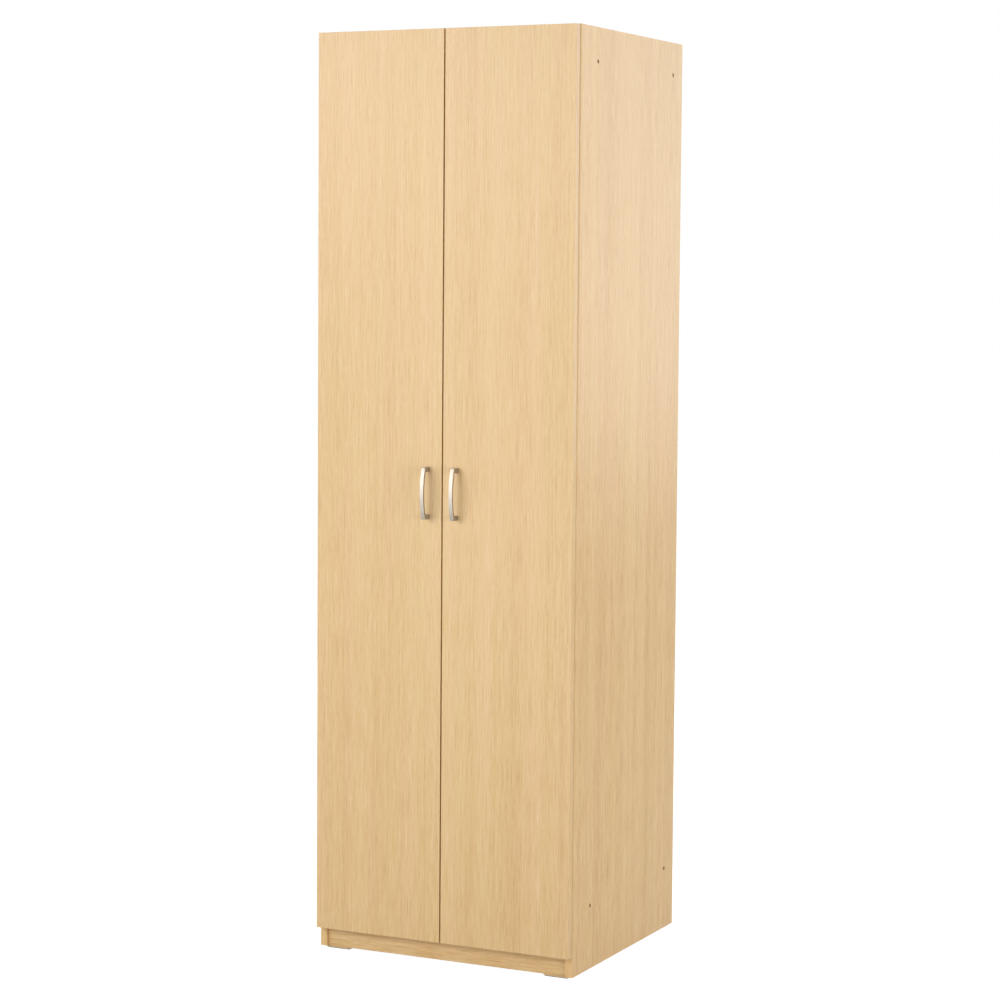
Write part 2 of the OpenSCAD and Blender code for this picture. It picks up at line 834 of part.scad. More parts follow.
module left_cup_screws() {
    color(zinc) at_left_hinges() at_cup_screws() wood_screw(flange_t);
}

module left_cup_pins() {
    color(steel) at_left_hinges() cup_pins();
}

// Doors, left side

module at_handle_screws() {
    for (side = [-1, 1]) translate([-body_w / 2 + handle_in, front_y, handle_z + side * handle_screw_z]) {
        children();
    }
}

module left_door() {
    color(foil) difference() {
        translate([-body_w / 2 + door_reveal, front_y + door_front, door_z]) cube([door_w, door_t, door_h]);
        at_left_hinges() {
            translate([cup_x, door_back - cup_deep - fix_gap, 0]) rod_y(cup_d + 2 * fix_gap, cup_deep + eps);
            at_cup_screws() wood_screw_hole(flange_t);
        }
        at_handle_screws() translate([0, door_front - eps, 0]) {
            rod_y(handle_screw_d + 2 * fix_gap, door_t + 2 * eps);
        }
    }
}

// Side view of a handle: x runs off the door, y along it
module handle_outline() {
    difference() {
        intersection() {
            translate([handle_reach - handle_r, 0]) circle(handle_r, $fn = 256);
            translate([0, -handle_l / 2]) square([handle_reach, handle_l]);
        }
        intersection() {
            translate([handle_reach - handle_r, 0]) circle(handle_r - handle_bar_t, $fn = 256);
            translate([-eps, -handle_l / 2 + handle_foot_l]) {
                square([handle_reach, handle_l - 2 * handle_foot_l]);
            }
        }
    }
}

module left_handle() {
    color(nickel) difference() {
        translate([-body_w / 2 + handle_in + handle_w / 2, front_y + door_front, handle_z]) {
            rotate([90, 0, -90]) linear_extrude(handle_w) handle_outline();
        }
        at_handle_screws() translate([0, door_front - handle_screw_in - fix_gap, 0]) {
            rod_y(handle_screw_d + 2 * fix_gap, handle_screw_in + eps);
        }
    }
}

module left_handle_screws() {
    color(zinc) at_handle_screws() {
        translate([0, door_front - handle_screw_in, 0]) rod_y(handle_screw_d, handle_screw_in + door_t + eps);
        translate([0, door_back, 0]) rod_y(handle_screw_head_d, handle_screw_head_h);
    }
}

module left_door_bumpers() {
    bumper_t = door_gap - bumper_gap;
    x = -body_w / 2 + door_reveal + door_w - bumper_in;
    color(rubber) for (z = [bottom_z, top_z]) translate([x, front_y + door_back, z + board_t / 2]) {
        rod_y(bumper_d, bumper_t);
    }
}

// The assembly

left_side_panel();
right_side_panel();
top_panel();
bottom_panel();
hat_shelf();
plinth_board();
rear_plinth_board();
back_panel();
hanger_rail();
rail_sockets();
rail_socket_screws();
panel_dowels();
cam_locks();
cam_bolts();
corner_feet();
foot_soles();
foot_screws();
left_hinge_plates();
left_plate_screws();
left_hinge_arms();
left_arm_screws();
left_arm_pins();
left_outer_links();
left_inner_links();
left_door();
left_hinge_cups();
left_cup_screws();
left_cup_pins();
left_handle();
left_handle_screws();
left_door_bumpers();
mirror([1, 0, 0]) left_hinge_plates();  // right_hinge_plates
mirror([1, 0, 0]) left_plate_screws();  // right_plate_screws
mirror([1, 0, 0]) left_hinge_arms();  // right_hinge_arms
mirror([1, 0, 0]) left_arm_screws();  // right_arm_screws
mirror([1, 0, 0]) left_arm_pins();  // right_arm_pins
mirror([1, 0, 0]) left_outer_links();  // right_outer_links
mirror([1, 0, 0]) left_inner_links();  // right_inner_links
mirror([1, 0, 0]) left_door();  // right_door
mirror([1, 0, 0]) left_hinge_cups();  // right_hinge_cups
mirror([1, 0, 0]) left_cup_screws();  // right_cup_screws
mirror([1, 0, 0]) left_cup_pins();  // right_cup_pins
mirror([1, 0, 0]) left_handle();  // right_handle
mirror([1, 0, 0]) left_handle_screws();  // right_handle_screws
mirror([1, 0, 0]) left_door_bumpers();  // right_door_bumpers
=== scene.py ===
"""Looks of a narrow wardrobe with two doors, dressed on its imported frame.

Places are metres in the frame: +X right, the doors face -Y, +Z up, and the floor is z = 0.
Sizes of pieces are millimetres, written as a value times MM.
"""

from __future__ import annotations

import logging
import math
from collections.abc import Iterable, Sequence
from dataclasses import dataclass
from enum import Enum
from typing import ClassVar

import bmesh
import bpy
from mathutils import Matrix, Vector


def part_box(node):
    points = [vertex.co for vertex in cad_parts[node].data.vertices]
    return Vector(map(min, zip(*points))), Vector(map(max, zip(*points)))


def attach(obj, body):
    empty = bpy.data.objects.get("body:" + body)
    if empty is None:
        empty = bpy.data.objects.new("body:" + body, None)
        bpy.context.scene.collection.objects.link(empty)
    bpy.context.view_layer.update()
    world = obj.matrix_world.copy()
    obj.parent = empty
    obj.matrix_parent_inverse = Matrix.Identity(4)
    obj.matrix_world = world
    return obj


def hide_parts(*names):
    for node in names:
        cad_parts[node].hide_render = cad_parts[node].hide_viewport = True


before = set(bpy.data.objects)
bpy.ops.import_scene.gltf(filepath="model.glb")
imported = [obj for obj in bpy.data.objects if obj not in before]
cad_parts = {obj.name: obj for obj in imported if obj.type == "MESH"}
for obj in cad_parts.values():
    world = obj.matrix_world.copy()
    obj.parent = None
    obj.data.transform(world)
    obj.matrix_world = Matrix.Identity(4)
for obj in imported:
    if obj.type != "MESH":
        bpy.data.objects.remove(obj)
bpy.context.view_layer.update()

LOG = logging.getLogger("wardrobe")
MM = 0.001
# Points that lie closer together than this are one
WELD = 1e-6
# Angle up to which neighbouring faces count as one flat face
FLAT = math.radians(0.4)
# Cosine from which a face counts as facing a direction
FACING = 0.7
# Share of a solid's length that counts as its end
END_SHARE = 0.1
# Mean of every layer of noise
MEAN = 0.5
# How deep the middle of a rounding lies inside its corner, as a share of the radius
BULGE = 0.3
# Steps round a screw, a small turned form, the rail and its sockets, and a hinge cup
SCREW_STEPS, SMALL_STEPS, RAIL_STEPS, CUP_STEPS = 24, 32, 64, 72

Edge = bmesh.types.BMEdge
Mesh = bmesh.types.BMesh
Node = bpy.types.Node
Piece = bpy.types.Object
Socket = bpy.types.NodeSocket
Tree = bpy.types.NodeTree
Inputs = dict[str, Node | Socket | float]
Outline = Sequence[tuple[float, float]]
Place = tuple[float, float, float]
Shades = tuple[str, str, str]


class Side(Enum):
    """Which half of the wardrobe a piece belongs to, and the sign of its X."""

    LEFT = -1
    RIGHT = 1

    @property
    def prefix(self) -> str:
        """The start of this side's node and body names."""
        return self.name.lower() + "_"

    @property
    def door(self) -> str:
        """The name of this side's door, as a node and as a body."""
        return self.prefix + "door"


class Grain(Enum):
    """The axis that a board's printed grain runs along, as an index into X, Y, Z."""

    ALONG_X = 0
    ALONG_Y = 1
    UPRIGHT = 2


# Small tools


def linear(hex_colour: str) -> tuple[float, float, float, float]:
    """Turns an sRGB hex colour into linear red, green and blue with an alpha of 1."""
    values = [int(hex_colour[i : i + 2], 16) / 255 for i in (1, 3, 5)]
    return *(v / 12.92 if v <= 0.04045 else ((v + 0.055) / 1.055) ** 2.4 for v in values), 1.0


def add(
    tree: Tree,
    kind: str,
    inputs: dict | None = None,
    stops: Iterable[tuple[float, str]] = (),
    **settings: object,
) -> Node:
    """Adds a shader node with its settings, and sets or links its inputs.

    Args:
        tree: The node tree.
        kind: The node's type name without its ShaderNode prefix.
        inputs: For an input's name or index, a value, or the output socket to link to it, or
            a node, which stands for its first output.
        stops: For a colour ramp, the position and sRGB hex colour of each stop.
        settings: Properties of the node.

    Returns:
        The new node.
    """
    node = tree.nodes.new("ShaderNode" + kind)
    for name, value in settings.items():
        setattr(node, name, value)
    for i, (position, colour) in enumerate(stops):
        if i >= len(node.color_ramp.elements):
            node.color_ramp.elements.new(position)
        node.color_ramp.elements[i].position = position
        node.color_ramp.elements[i].color = linear(colour)
    for name, value in (inputs or {}).items():
        if isinstance(value, Node):
            value = value.outputs[0]
        if isinstance(value, Socket):
            tree.links.new(value, node.inputs[name])
        else:
            node.inputs[name].default_value = value
    return node


def emptied(owner: bpy.types.Material | bpy.types.World) -> Tree:
    """Gives a material or a world an empty node tree."""
    owner.use_nodes = True
    owner.node_tree.nodes.clear()
    return owner.node_tree


def stand(name: str, data: bpy.types.ID) -> Piece:
    """Puts a mesh, a lamp or a camera into the scene as an object."""
    piece = bpy.data.objects.new(name, data)
    bpy.context.scene.collection.objects.link(piece)
    return piece


# Finishes


class Finish:
    """A finish, made once as a material and shared by every piece that has it.

    Attributes:
        made: The materials made so far, by label.
        label: The material's name.
    """

    made: ClassVar[dict[str, bpy.types.Material]] = {}
    label: str

    def paint(self, tree: Tree) -> Inputs:
        """Adds the finish's nodes and gives the shader's inputs by name."""
        raise NotImplementedError

    def material(self) -> bpy.types.Material:
        """The finish's material, made at its first use."""
        if self.label not in Finish.made:
            material = bpy.data.materials.new(self.label)
            tree = emptied(material)
            add(tree, "OutputMaterial", {"Surface": add(tree, "BsdfPrincipled", self.paint(tree))})
            Finish.made[self.label] = material
        return Finish.made[self.label]


def grain_axes(tree: Tree, grain: Grain, shift: float) -> tuple[Node, Node]:
    """Adds coordinates of a print that runs round a board's corners without a break.

    Across the grain it adds the two other axes, because each face of a board has one of
    them constant, so the same streaks meet at every corner.

    Args:
        tree: The node tree.
        grain: The axis that the grain runs along.
        shift: Where in the print the board was cut, in millimetres.

    Returns:
        The distance across the grain and the one along it, in millimetres.
    """
    parts = add(tree, "SeparateXYZ", {0: add(tree, "TexCoord").outputs["Object"]}).outputs
    across = [parts[i] for i in range(3) if i != grain.value]
    total = add(tree, "Math", {0: across[0], 1: across[1]}, operation="ADD")
    shifted = add(tree, "Math", {0: total, 1: 1 / MM, 2: shift}, operation="MULTIPLY_ADD")
    along = add(tree, "Math", {0: parts[grain.value], 1: 1 / MM}, operation="MULTIPLY")
    return shifted, along


@dataclass(frozen=True)
class Streak:
    """Noise drawn out along the grain, in streaks of a width and a length in millimetres.

    Its layer is a place in the noise, so that no two streaks are alike. Its weight is its
    share in the tone, and its detail says how many finer layers it holds.
    """

    width: float
    length: float
    layer: float
    weight: float = 0.0
    detail: float = 0.0

    def noise(self, tree: Tree, axes: tuple[Node, Node]) -> Node:
        """Adds the noise.

        Args:
            tree: The node tree.
            axes: Distances across and along the grain, in millimetres.

        Returns:
            The noise, from 0 to 1.
        """
        x, y = (
            add(tree, "Math", {0: axis, 1: 1 / size}, operation="MULTIPLY")
            for axis, size in zip(axes, (self.width, self.length))
        )
        place = add(tree, "CombineXYZ", {0: x, 1: y, 2: self.layer})
        return add(tree, "TexNoise", {"Vector": place, "Scale": 1.0, "Detail": self.detail})


def summed(tree: Tree, parts: Iterable[tuple[Node, float]], start: float = MEAN) -> Node:
    """Adds up layers by weight.

    Args:
        tree: The node tree.
        parts: Each layer with its weight.
        start: The value where every layer is at its mean.

    Returns:
        The weighted sum.
    """
    total: Node | float = start
    for layer, weight in parts:
        middled = add(tree, "Math", {0: layer, 1: MEAN}, operation="SUBTRACT")
        total = add(tree, "Math", {0: middled, 1: weight, 2: total}, operation="MULTIPLY_ADD")
    return total


@dataclass(frozen=True)
class MapleFoil(Finish):
    """Decor paper printed with pale maple, pressed on particle board and lacquered.

    The print gives long quiet streaks and a few faint arched figures. The lacquer gives a
    broad soft sheen, and the embossing roller shallow pores along the grain.
    """

    # Real fibres are about 0.3 mm wide; strands and fibres are drawn 2 to 3 mm wide so that they show
    streaks: ClassVar[dict[str, Streak]] = {
        "bands": Streak(64.0, 2600.0, 0.3, 0.22),
        "ribbons": Streak(19.0, 1700.0, 2.6, 0.13),
        "veins": Streak(7.0, 900.0, 9.1, 0.07),
        "strands": Streak(3.1, 420.0, 17.7, 0.13),
        "fibres": Streak(2.0, 70.0, 13.9, 0.42),
        "pores": Streak(1.3, 15.0, 21.3, 0.27),
        # The ink lies a little unevenly
        "mottle": Streak(45.0, 80.0, 25.1, 0.06, 1.0),
    }
    # Growth rings cut flat: even steps through a smooth field that is long along the grain
    ring_field: ClassVar[Streak] = Streak(130.0, 2400.0, 4.7, detail=0.6)
    ring_steps: ClassVar[float] = 70.0
    # The print turns a little pink here and a little yellow there, in broad stripes
    drift: ClassVar[Streak] = Streak(38.0, 700.0, 31.9, detail=1.0)
    pink: ClassVar[str] = "#FFFBFA"
    yellow: ClassVar[str] = "#FDFDF5"

    grain: Grain
    shift: float
    figure: float = 0.02
    contrast: float = 0.95
    shades: Shades = ("#C4995F", "#DDBB87", "#EBD1A6")

    @property
    def label(self) -> str:
        """The material's name."""
        kind = "maple_foil" if self.figure else "maple_edge_band"
        return f"{kind}_{self.grain.name.lower()}_{self.shift:g}"

    def paint(self, tree: Tree) -> Inputs:
        """Prints the maple and lacquers it."""
        axes = grain_axes(tree, self.grain, self.shift)
        noises = {name: streak.noise(tree, axes) for name, streak in self.streaks.items()}
        field = self.ring_field.noise(tree, axes)
        rings = add(tree, "Math", {0: field, 1: self.ring_steps}, operation="MULTIPLY")
        wave = add(tree, "Math", {0: rings}, operation="SINE")
        figure = add(tree, "Math", {0: wave, 1: MEAN, 2: MEAN}, operation="MULTIPLY_ADD")
        layers = [(noises[name], streak.weight) for name, streak in self.streaks.items()]
        layers.insert(2, (figure, self.figure))
        tone = summed(tree, [(layer, weight * self.contrast) for layer, weight in layers])
        ink = add(tree, "ValToRGB", {0: tone}, stops=zip((0.1, 0.5, 0.9), self.shades))
        drift = self.drift.noise(tree, axes)
        hue = add(tree, "ValToRGB", {0: drift}, stops=[(0.35, self.pink), (0.65, self.yellow)])
        tinted = add(tree, "MixRGB", {0: 1.0, 1: ink, 2: hue}, blend_type="MULTIPLY")
        relief = summed(tree, [(noises["fibres"], 0.6), (noises["pores"], 0.9)])
        bump = add(tree, "Bump", {"Height": relief, "Strength": 0.10, "Distance": 0.06 * MM})
        return {
            "Base Color": tinted,
            "Roughness": summed(tree, [(noises["fibres"], 0.10), (noises["bands"], 0.06)], 0.40),
            "Normal": bump,
            "IOR": 1.48,
            "Specular IOR Level": 0.58,
        }


@dataclass(frozen=True)
class ParticleBoard(Finish):
    """Bare sawn edge of particle board: glued chips of 1 to 4 mm among finer ones.

    It gives a matt, freckled tan that shows the board's core.
    """

    label: str = "raw_particle_board"
    chip: float = 2.0 * MM
    dust: float = 0.9 * MM
    shades: Shades = ("#9C7848", "#BB9763", "#D5B888")

    def paint(self, tree: Tree) -> Inputs:
        """Scatters the chips."""
        place = add(tree, "TexCoord").outputs["Object"]
        chips = add(tree, "TexVoronoi", {"Vector": place, "Scale": 1 / self.chip}).outputs["Color"]
        dust = add(tree, "TexNoise", {"Vector": place, "Scale": 1 / self.dust, "Detail": 3.0})
        hue = add(tree, "SeparateColor", {0: chips})
        tone = summed(tree, [(hue, 0.45), (dust, 0.5)])
        colour = add(tree, "ValToRGB", {0: tone}, stops=zip((0.1, 0.5, 0.9), self.shades))
        bump = add(tree, "Bump", {"Height": tone, "Strength": 0.5, "Distance": 0.3 * MM})
        return {"Base Color": colour, "Normal": bump, "Roughness": 0.85}


@dataclass(frozen=True)
class Hardboard(Finish):
    """Thin fibreboard, hot-pressed and left bare: the rear of the back panel.

    Its felted fibres give an even, slightly mottled brown with a dull sheen.
    """

    label: str = "bare_hardboard"
    cloud: float = 90 * MM
    # Fibres are 1 to 3 mm long; their clumps are drawn 5 mm across so that they show
    clump: float = 5.0 * MM
    shades: Shades = ("#9C7A52", "#B69468", "#C9AC82")

    def paint(self, tree: Tree) -> Inputs:
        """Felts the fibres."""
        place = add(tree, "TexCoord").outputs["Object"]
        clouds = add(tree, "TexNoise", {"Vector": place, "Scale": 1 / self.cloud, "Detail": 3.0})
        felt = {"Vector": place, "Scale": 1 / self.clump, "Detail": 5.0, "Distortion": 1.2}
        fibres = add(tree, "TexNoise", felt)
        tone = summed(tree, [(clouds, 0.25), (fibres, 0.9)])
        colour = add(tree, "ValToRGB", {0: tone}, stops=zip((0.15, 0.5, 0.85), self.shades))
        bump = add(tree, "Bump", {"Height": fibres, "Strength": 0.25, "Distance": 0.15 * MM})
        return {"Base Color": colour, "Normal": bump, "Roughness": 0.62}


@dataclass(frozen=True)
class Mottled(Finish):
    """A surface whose tone and gloss vary in broad patches and in a fine grit.

    Sizes are in millimetres. Each pair has a number for the patches and one for the grit:
    how many finer layers they hold, and what they weigh in the tone and in the roughness.
    """

    label: str
    colour: str
    shade: str
    roughness: float
    grit: float
    relief: float = 0.12
    patch: float = 16.0
    details: tuple[float, float] = (3.0, 2.0)
    tones: tuple[float, float] = (0.9, 0.6)
    glosses: tuple[float, float] = (0.12, 0.08)

    def paint(self, tree: Tree) -> Inputs:
        """Varies the surface."""
        place = add(tree, "TexCoord").outputs["Object"]
        noises = []
        for size, detail in zip((self.patch, self.grit), self.details):
            noise = {"Vector": place, "Scale": 1 / (size * MM), "Detail": detail}
            noises.append(add(tree, "TexNoise", noise))
        tone = summed(tree, zip(noises, self.tones))
        colour = add(tree, "ValToRGB", {0: tone}, stops=[(0.2, self.shade), (0.8, self.colour)])
        bump = add(tree, "Bump", {"Height": noises[1], "Strength": self.relief, "Distance": 0.05 * MM})
        gloss = summed(tree, zip(noises, self.glosses), self.roughness)
        return {"Base Color": colour, "Roughness": gloss, "Normal": bump}


@dataclass(frozen=True)
class Metal(Mottled):
    """A plated or cast metal, a little duller and darker in patches."""

    def paint(self, tree: Tree) -> Inputs:
        """Plates the metal."""
        return {**super().paint(tree), "Metallic": 1.0}


@dataclass(frozen=True)
class Plastic(Mottled):
    """A moulded plastic or rubber: an even tone with the mould's fine spark-eroded grain."""

    relief: float = 0.2
    patch: float = 12.0
    details: tuple[float, float] = (2.0, 1.0)
    tones: tuple[float, float] = (0.8, 0.5)
    glosses: tuple[float, float] = (0.0, 0.15)
    clear: float = 0.0

    def paint(self, tree: Tree) -> Inputs:
        """Moulds the surface, clear or not."""
        return {**super().paint(tree), "IOR": 1.5, "Transmission Weight": self.clear}


@dataclass(frozen=True)
class TurnedBeech(Finish):
    """Beech turned to dowels: pale pink-brown wood with short dark flecks along the grain."""

    flecks: ClassVar[Streak] = Streak(0.6, 4.0, 2.0, 0.8, 1.0)
    rings: ClassVar[Streak] = Streak(3.0, 60.0, 6.0, 0.5, 1.0)

    label: str = "turned_beech"
    shades: Shades = ("#B98B5C", "#D3A877", "#E2BF92")

    def paint(self, tree: Tree) -> Inputs:
        """Draws the flecks along the dowels, which lie along X."""
        axes = grain_axes(tree, Grain.ALONG_X, 0.0)
        flecks, rings = self.flecks.noise(tree, axes), self.rings.noise(tree, axes)
        tone = summed(tree, [(flecks, self.flecks.weight), (rings, self.rings.weight)])
        colour = add(tree, "ValToRGB", {0: tone}, stops=zip((0.2, 0.5, 0.8), self.shades))
        bump = add(tree, "Bump", {"Height": flecks, "Strength": 0.3, "Distance": 0.1 * MM})
        return {"Base Color": colour, "Normal": bump, "Roughness": 0.6}


# Nickel-plated die-cast zinc, brushed before plating: a warm silver with a soft highlight
SATIN_NICKEL = Metal("satin_nickel", "#B4ACA0", "#A59D91", 0.50, 0.35, 0.12)
# Nickel on pressed steel, plated bright in the drum: a warm mirror that the pressing dulls
NICKEL_STEEL = Metal("nickel_plated_steel", "#CFC8BC", "#B3ABA0", 0.22, 0.8)
# Nickel on die-cast zinc: as above, with the casting's faint orange peel
NICKEL_ZINC = Metal("nickel_plated_zinc", "#CBC6BD", "#AEA8A0", 0.30, 1.1, 0.2)
# Chromed steel tube: a cool mirror
CHROME = Metal("chromed_steel", "#DDE0E2", "#C3C8CC", 0.10, 2.5, 0.04)
# Zinc-plated and passivated steel: a cool grey with a crystalline haze
ZINC_STEEL = Metal("zinc_plated_steel", "#C6CACD", "#A2A8AC", 0.34, 0.5)
# Zinc as it leaves the die: a dull grey skin
CAST_ZINC = Metal("die_cast_zinc", "#ABAFB3", "#858A8F", 0.45, 0.9, 0.3)
# Injection-moulded polypropylene, dyed to go with the foil
BEIGE_PLASTIC = Plastic("beige_polypropylene", "#D2B78D", "#BFA176", 0.45, 0.6)
# Rubber sole, moulded matt; its dark grey also paints the thin line of shade under each foot
GREY_RUBBER_AND_SHADE = Plastic("grey_rubber", "#6E6A66", "#55524E", 0.7, 0.5)
# Clear polyurethane drop: cast soft, so it is glossy and slightly milky
CLEAR_BUMPER = Plastic("clear_polyurethane", "#F4F3EE", "#ECEAE2", 0.12, 1.5, clear=0.85)
PARTICLE_BOARD = ParticleBoard()
HARDBOARD = Hardboard()
BEECH = TurnedBeech()


# Mesh tools


@dataclass(frozen=True)
class Solid:
    """One of the separate solids of a node, as it stands in the frame at rest.

    Attributes:
        low: Lowest corner of its box.
        high: Highest corner of its box.
        points: Its vertices.
    """

    low: Vector
    high: Vector
    points: tuple[Vector, ...]

    @property
    def middle(self) -> Vector:
        """Middle of its box."""
        return (self.low + self.high) / 2

    @property
    def size(self) -> Vector:
        """Size of its box."""
        return self.high - self.low

    @property
    def axis(self) -> Vector:
        """Unit vector along its longest side, towards its wider end."""
        i = max(range(3), key=lambda k: self.size[k])
        near = self.size[i] * END_SHARE
        spans = []
        for end in (self.low[i], self.high[i]):
            reach = [p - self.middle for p in self.points if abs(p[i] - end) < near]
            spans.append(max(v.length_squared - v[i] ** 2 for v in reach))
        axis = Vector((0.0, 0.0, 0.0))
        axis[i] = 1.0 if spans[1] > spans[0] else -1.0
        return axis


def node_mesh(node: str, flat: bool = True) -> Mesh:
    """Copies a node's mesh, with its faces joined at their shared edges.

    Args:
        node: The node's name.
        flat: Whether each flat face is made as few polygons as it can be.

    Returns:
        The copy, in the frame's coordinates.
    """
    mesh = bmesh.new()
    mesh.from_mesh(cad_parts[node].data)
    bmesh.ops.remove_doubles(mesh, verts=mesh.verts, dist=WELD)
    if flat:
        bmesh.ops.dissolve_limit(mesh, angle_limit=FLAT, verts=mesh.verts, edges=mesh.edges)
    return mesh


def solids_of(node: str) -> list[Solid]:
    """Splits a node into its separate solids.

    Args:
        node: The node's name.

    Returns:
        The solids, from the lowest to the highest and then from left to right.
    """
    mesh = node_mesh(node, flat=False)
    left = set(mesh.verts)
    solids = []
    while left:
        reached = [left.pop()]
        for vert in reached:
            near = left.intersection(edge.other_vert(vert) for edge in vert.link_edges)
            left -= near
            reached += near
        points = tuple(v.co.copy() for v in reached)
        low, high = (Vector(pick(p[k] for p in points) for k in range(3)) for pick in (min, max))
        solids.append(Solid(low, high, points))
    mesh.free()
    return sorted(solids, key=lambda s: tuple(round(s.middle[k], 5) for k in (2, 0, 1)))


def facing(axis: Vector, place: Vector) -> Matrix:
    """The transform that turns +Z to an axis and moves the origin to a place."""
    return Matrix.Translation(place) @ axis.to_track_quat("Z", "Y").to_matrix().to_4x4()


def rounded(corners: Sequence[Place], steps: int = 5) -> Outline:
    """Rounds the corners of an outline.

    Args:
        corners: X, Y and the rounding radius of each corner, in order round the outline.
        steps: How many straight steps an arc has.

    Returns:
        The outline's points.
    """
    points = []
    for i, (x, y, radius) in enumerate(corners):
        if radius == 0:
            points.append((x, y))
            continue
        here = Vector((x, y))
        before, after = (Vector(corners[j % len(corners)][:2]) - here for j in (i - 1, i + 1))
        before.normalize()
        after.normalize()
        half = before.angle(after) / 2
        back = radius / math.tan(half)
        start, end = here + before * back, here + after * back
        middle = here + (before + after).normalized() * radius / math.sin(half)
        turn = (start - middle).angle_signed(end - middle)
        for k in range(steps + 1):
            spoke = start - middle
            spoke.rotate(Matrix.Rotation(-turn * k / steps, 2))
            points.append(tuple(middle + spoke))
    return points


def lathe(mesh: Mesh, profile: Outline, place: Matrix, segments: int) -> None:
    """Turns a profile round Z and adds it to a mesh.

    Args:
        mesh: The mesh to add to.
        profile: Radius and height of each point; a radius of 0 closes the end.
        place: Where the turned form goes.
        segments: Steps round the axis.
    """
    rings = []
    for radius, height in profile:
        if radius == 0:
            rings.append([mesh.verts.new(place @ Vector((0, 0, height)))])
            continue
        angles = [2 * math.pi * k / segments for k in range(segments)]
        spots = [Vector((radius * math.cos(a), radius * math.sin(a), height)) for a in angles]
        rings.append([mesh.verts.new(place @ s) for s in spots])
    closed = profile[0][0] != 0
    for low, high in zip(rings, rings[1:] + rings[:1] if closed else rings[1:]):
        for k in range(segments):
            corners = [(low, k), (low, k + 1), (high, k + 1), (high, k)]
            mesh.faces.new(list(dict.fromkeys(ring[i % len(ring)] for ring, i in corners)))


def slab(mesh: Mesh, outline: Outline, thickness: float, place: Matrix, arris: float = 0) -> None:
    """Extrudes an outline along Z and adds it to a mesh.

    Args:
        mesh: The mesh to add to.
        outline: The outline's points in the XY plane.
        thickness: Height of the slab, from z = 0.
        place: Where the slab goes.
        arris: Radius of the rounded edges round both faces.
    """
    part = bmesh.new()
    base = part.faces.new([part.verts.new((x, y, 0)) for x, y in outline])
    grown = bmesh.ops.extrude_face_region(part, geom=[base])["geom"]
    top = [v for v in grown if isinstance(v, bmesh.types.BMVert)]
    bmesh.ops.translate(part, verts=top, vec=(0, 0, thickness))
    bmesh.ops.recalc_face_normals(part, faces=part.faces)
    if arris:
        rims = [e for e in part.edges if abs(e.verts[0].co.z - e.verts[1].co.z) < WELD]
        ease(part, rims, arris)
    append(mesh, part, place)


def baked(mesh: Mesh, name: str) -> bpy.types.Mesh:
    """Turns a working mesh into mesh data and frees it.

    Args:
        mesh: The working mesh.
        name: The data's name.

    Returns:
        The data.
    """
    data = bpy.data.meshes.new(name)
    mesh.to_mesh(data)
    mesh.free()
    return data


def append(mesh: Mesh, part: Mesh, place: Matrix) -> None:
    """Adds a mesh to another and frees it.

    Args:
        mesh: The mesh that grows.
        part: The mesh that it takes in.
        place: Where the part goes.
    """
    bmesh.ops.transform(part, matrix=place, verts=part.verts)
    data = baked(part, "part")
    mesh.from_mesh(data)
    bpy.data.meshes.remove(data)


def ease(mesh: Mesh, edges: list[Edge], radius: float, steps: int = 3) -> None:
    """Rounds some edges of a mesh with a radius, in a few straight steps."""
    bmesh.ops.bevel(
        mesh, geom=edges, offset=radius, segments=steps, profile=0.5, affect="EDGES", clamp_overlap=True
    )


def cut(mesh: Mesh, cutter: Mesh) -> None:
    """Cuts one mesh out of another.

    Args:
        mesh: The mesh that loses material; it is changed in place.
        cutter: The mesh that is taken away; it is freed.
    """
    pair = []
    for name, form in (("kept", mesh.copy()), ("cutter", cutter)):
        bmesh.ops.recalc_face_normals(form, faces=form.faces)
        pair.append(stand(name, baked(form, name)))
    kept, taken = pair
    modifier = kept.modifiers.new("cut", "BOOLEAN")
    modifier.operation = "DIFFERENCE"
    modifier.solver = "EXACT"
    modifier.object = taken
    result = bpy.data.meshes.new_from_object(kept.evaluated_get(bpy.context.evaluated_depsgraph_get()))
    mesh.clear()
    mesh.from_mesh(result)
    for data in (kept.data, taken.data, result):
        bpy.data.meshes.remove(data)


def cross_cut(mesh: Mesh, half: float, width: float, depth: float, top: float, turn: float) -> None:
    """Cuts a cross down into a form that stands along Z.

    Args:
        mesh: The form; it is changed in place.
        half: Half length of the cross's arms.
        width: Width of its arms.
        depth: Its depth.
        top: Height of the form's top.
        turn: Angle of the first arm in degrees.
    """
    side = width / 2
    outline = [(-half, -side), (half, -side), (half, side), (-half, side)]
    for angle in (turn, turn + 90):
        blade = bmesh.new()
        place = Matrix.Translation((0, 0, top - depth)) @ Matrix.Rotation(math.radians(angle), 4, "Z")
        slab(blade, outline, 2 * depth, place)
        cut(mesh, blade)


def shown(
    mesh: Mesh,
    node: str,
    made: str,
    body: str,
    finishes: Sequence[Finish],
    sharp: float = 32,
) -> Piece:
    """Turns a mesh into a piece that rides on a body and stands for its node.

    Args:
        mesh: The mesh, in the frame's coordinates; it is freed.
        node: The node that it replaces.
        made: How it was made, which ends its name.
        body: The body that it rides on.
        finishes: Its finishes, in the order of the faces' material indices.
        sharp: Angle in degrees from which an edge is drawn sharp.

    Returns:
        The piece.
    """
    bmesh.ops.recalc_face_normals(mesh, faces=mesh.faces)
    for face in mesh.faces:
        face.smooth = True
    for edge in mesh.edges:
        edge.smooth = edge.calc_face_angle(math.pi) < math.radians(sharp)
    name = f"{node}_{made}"
    data = baked(mesh, name)
    for finish in finishes:
        data.materials.append(finish.material())
    piece = stand(name, data)
    piece.modifiers.new("even_shading", "WEIGHTED_NORMAL").keep_sharp = True
    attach(piece, body)
    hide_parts(node)
    return piece


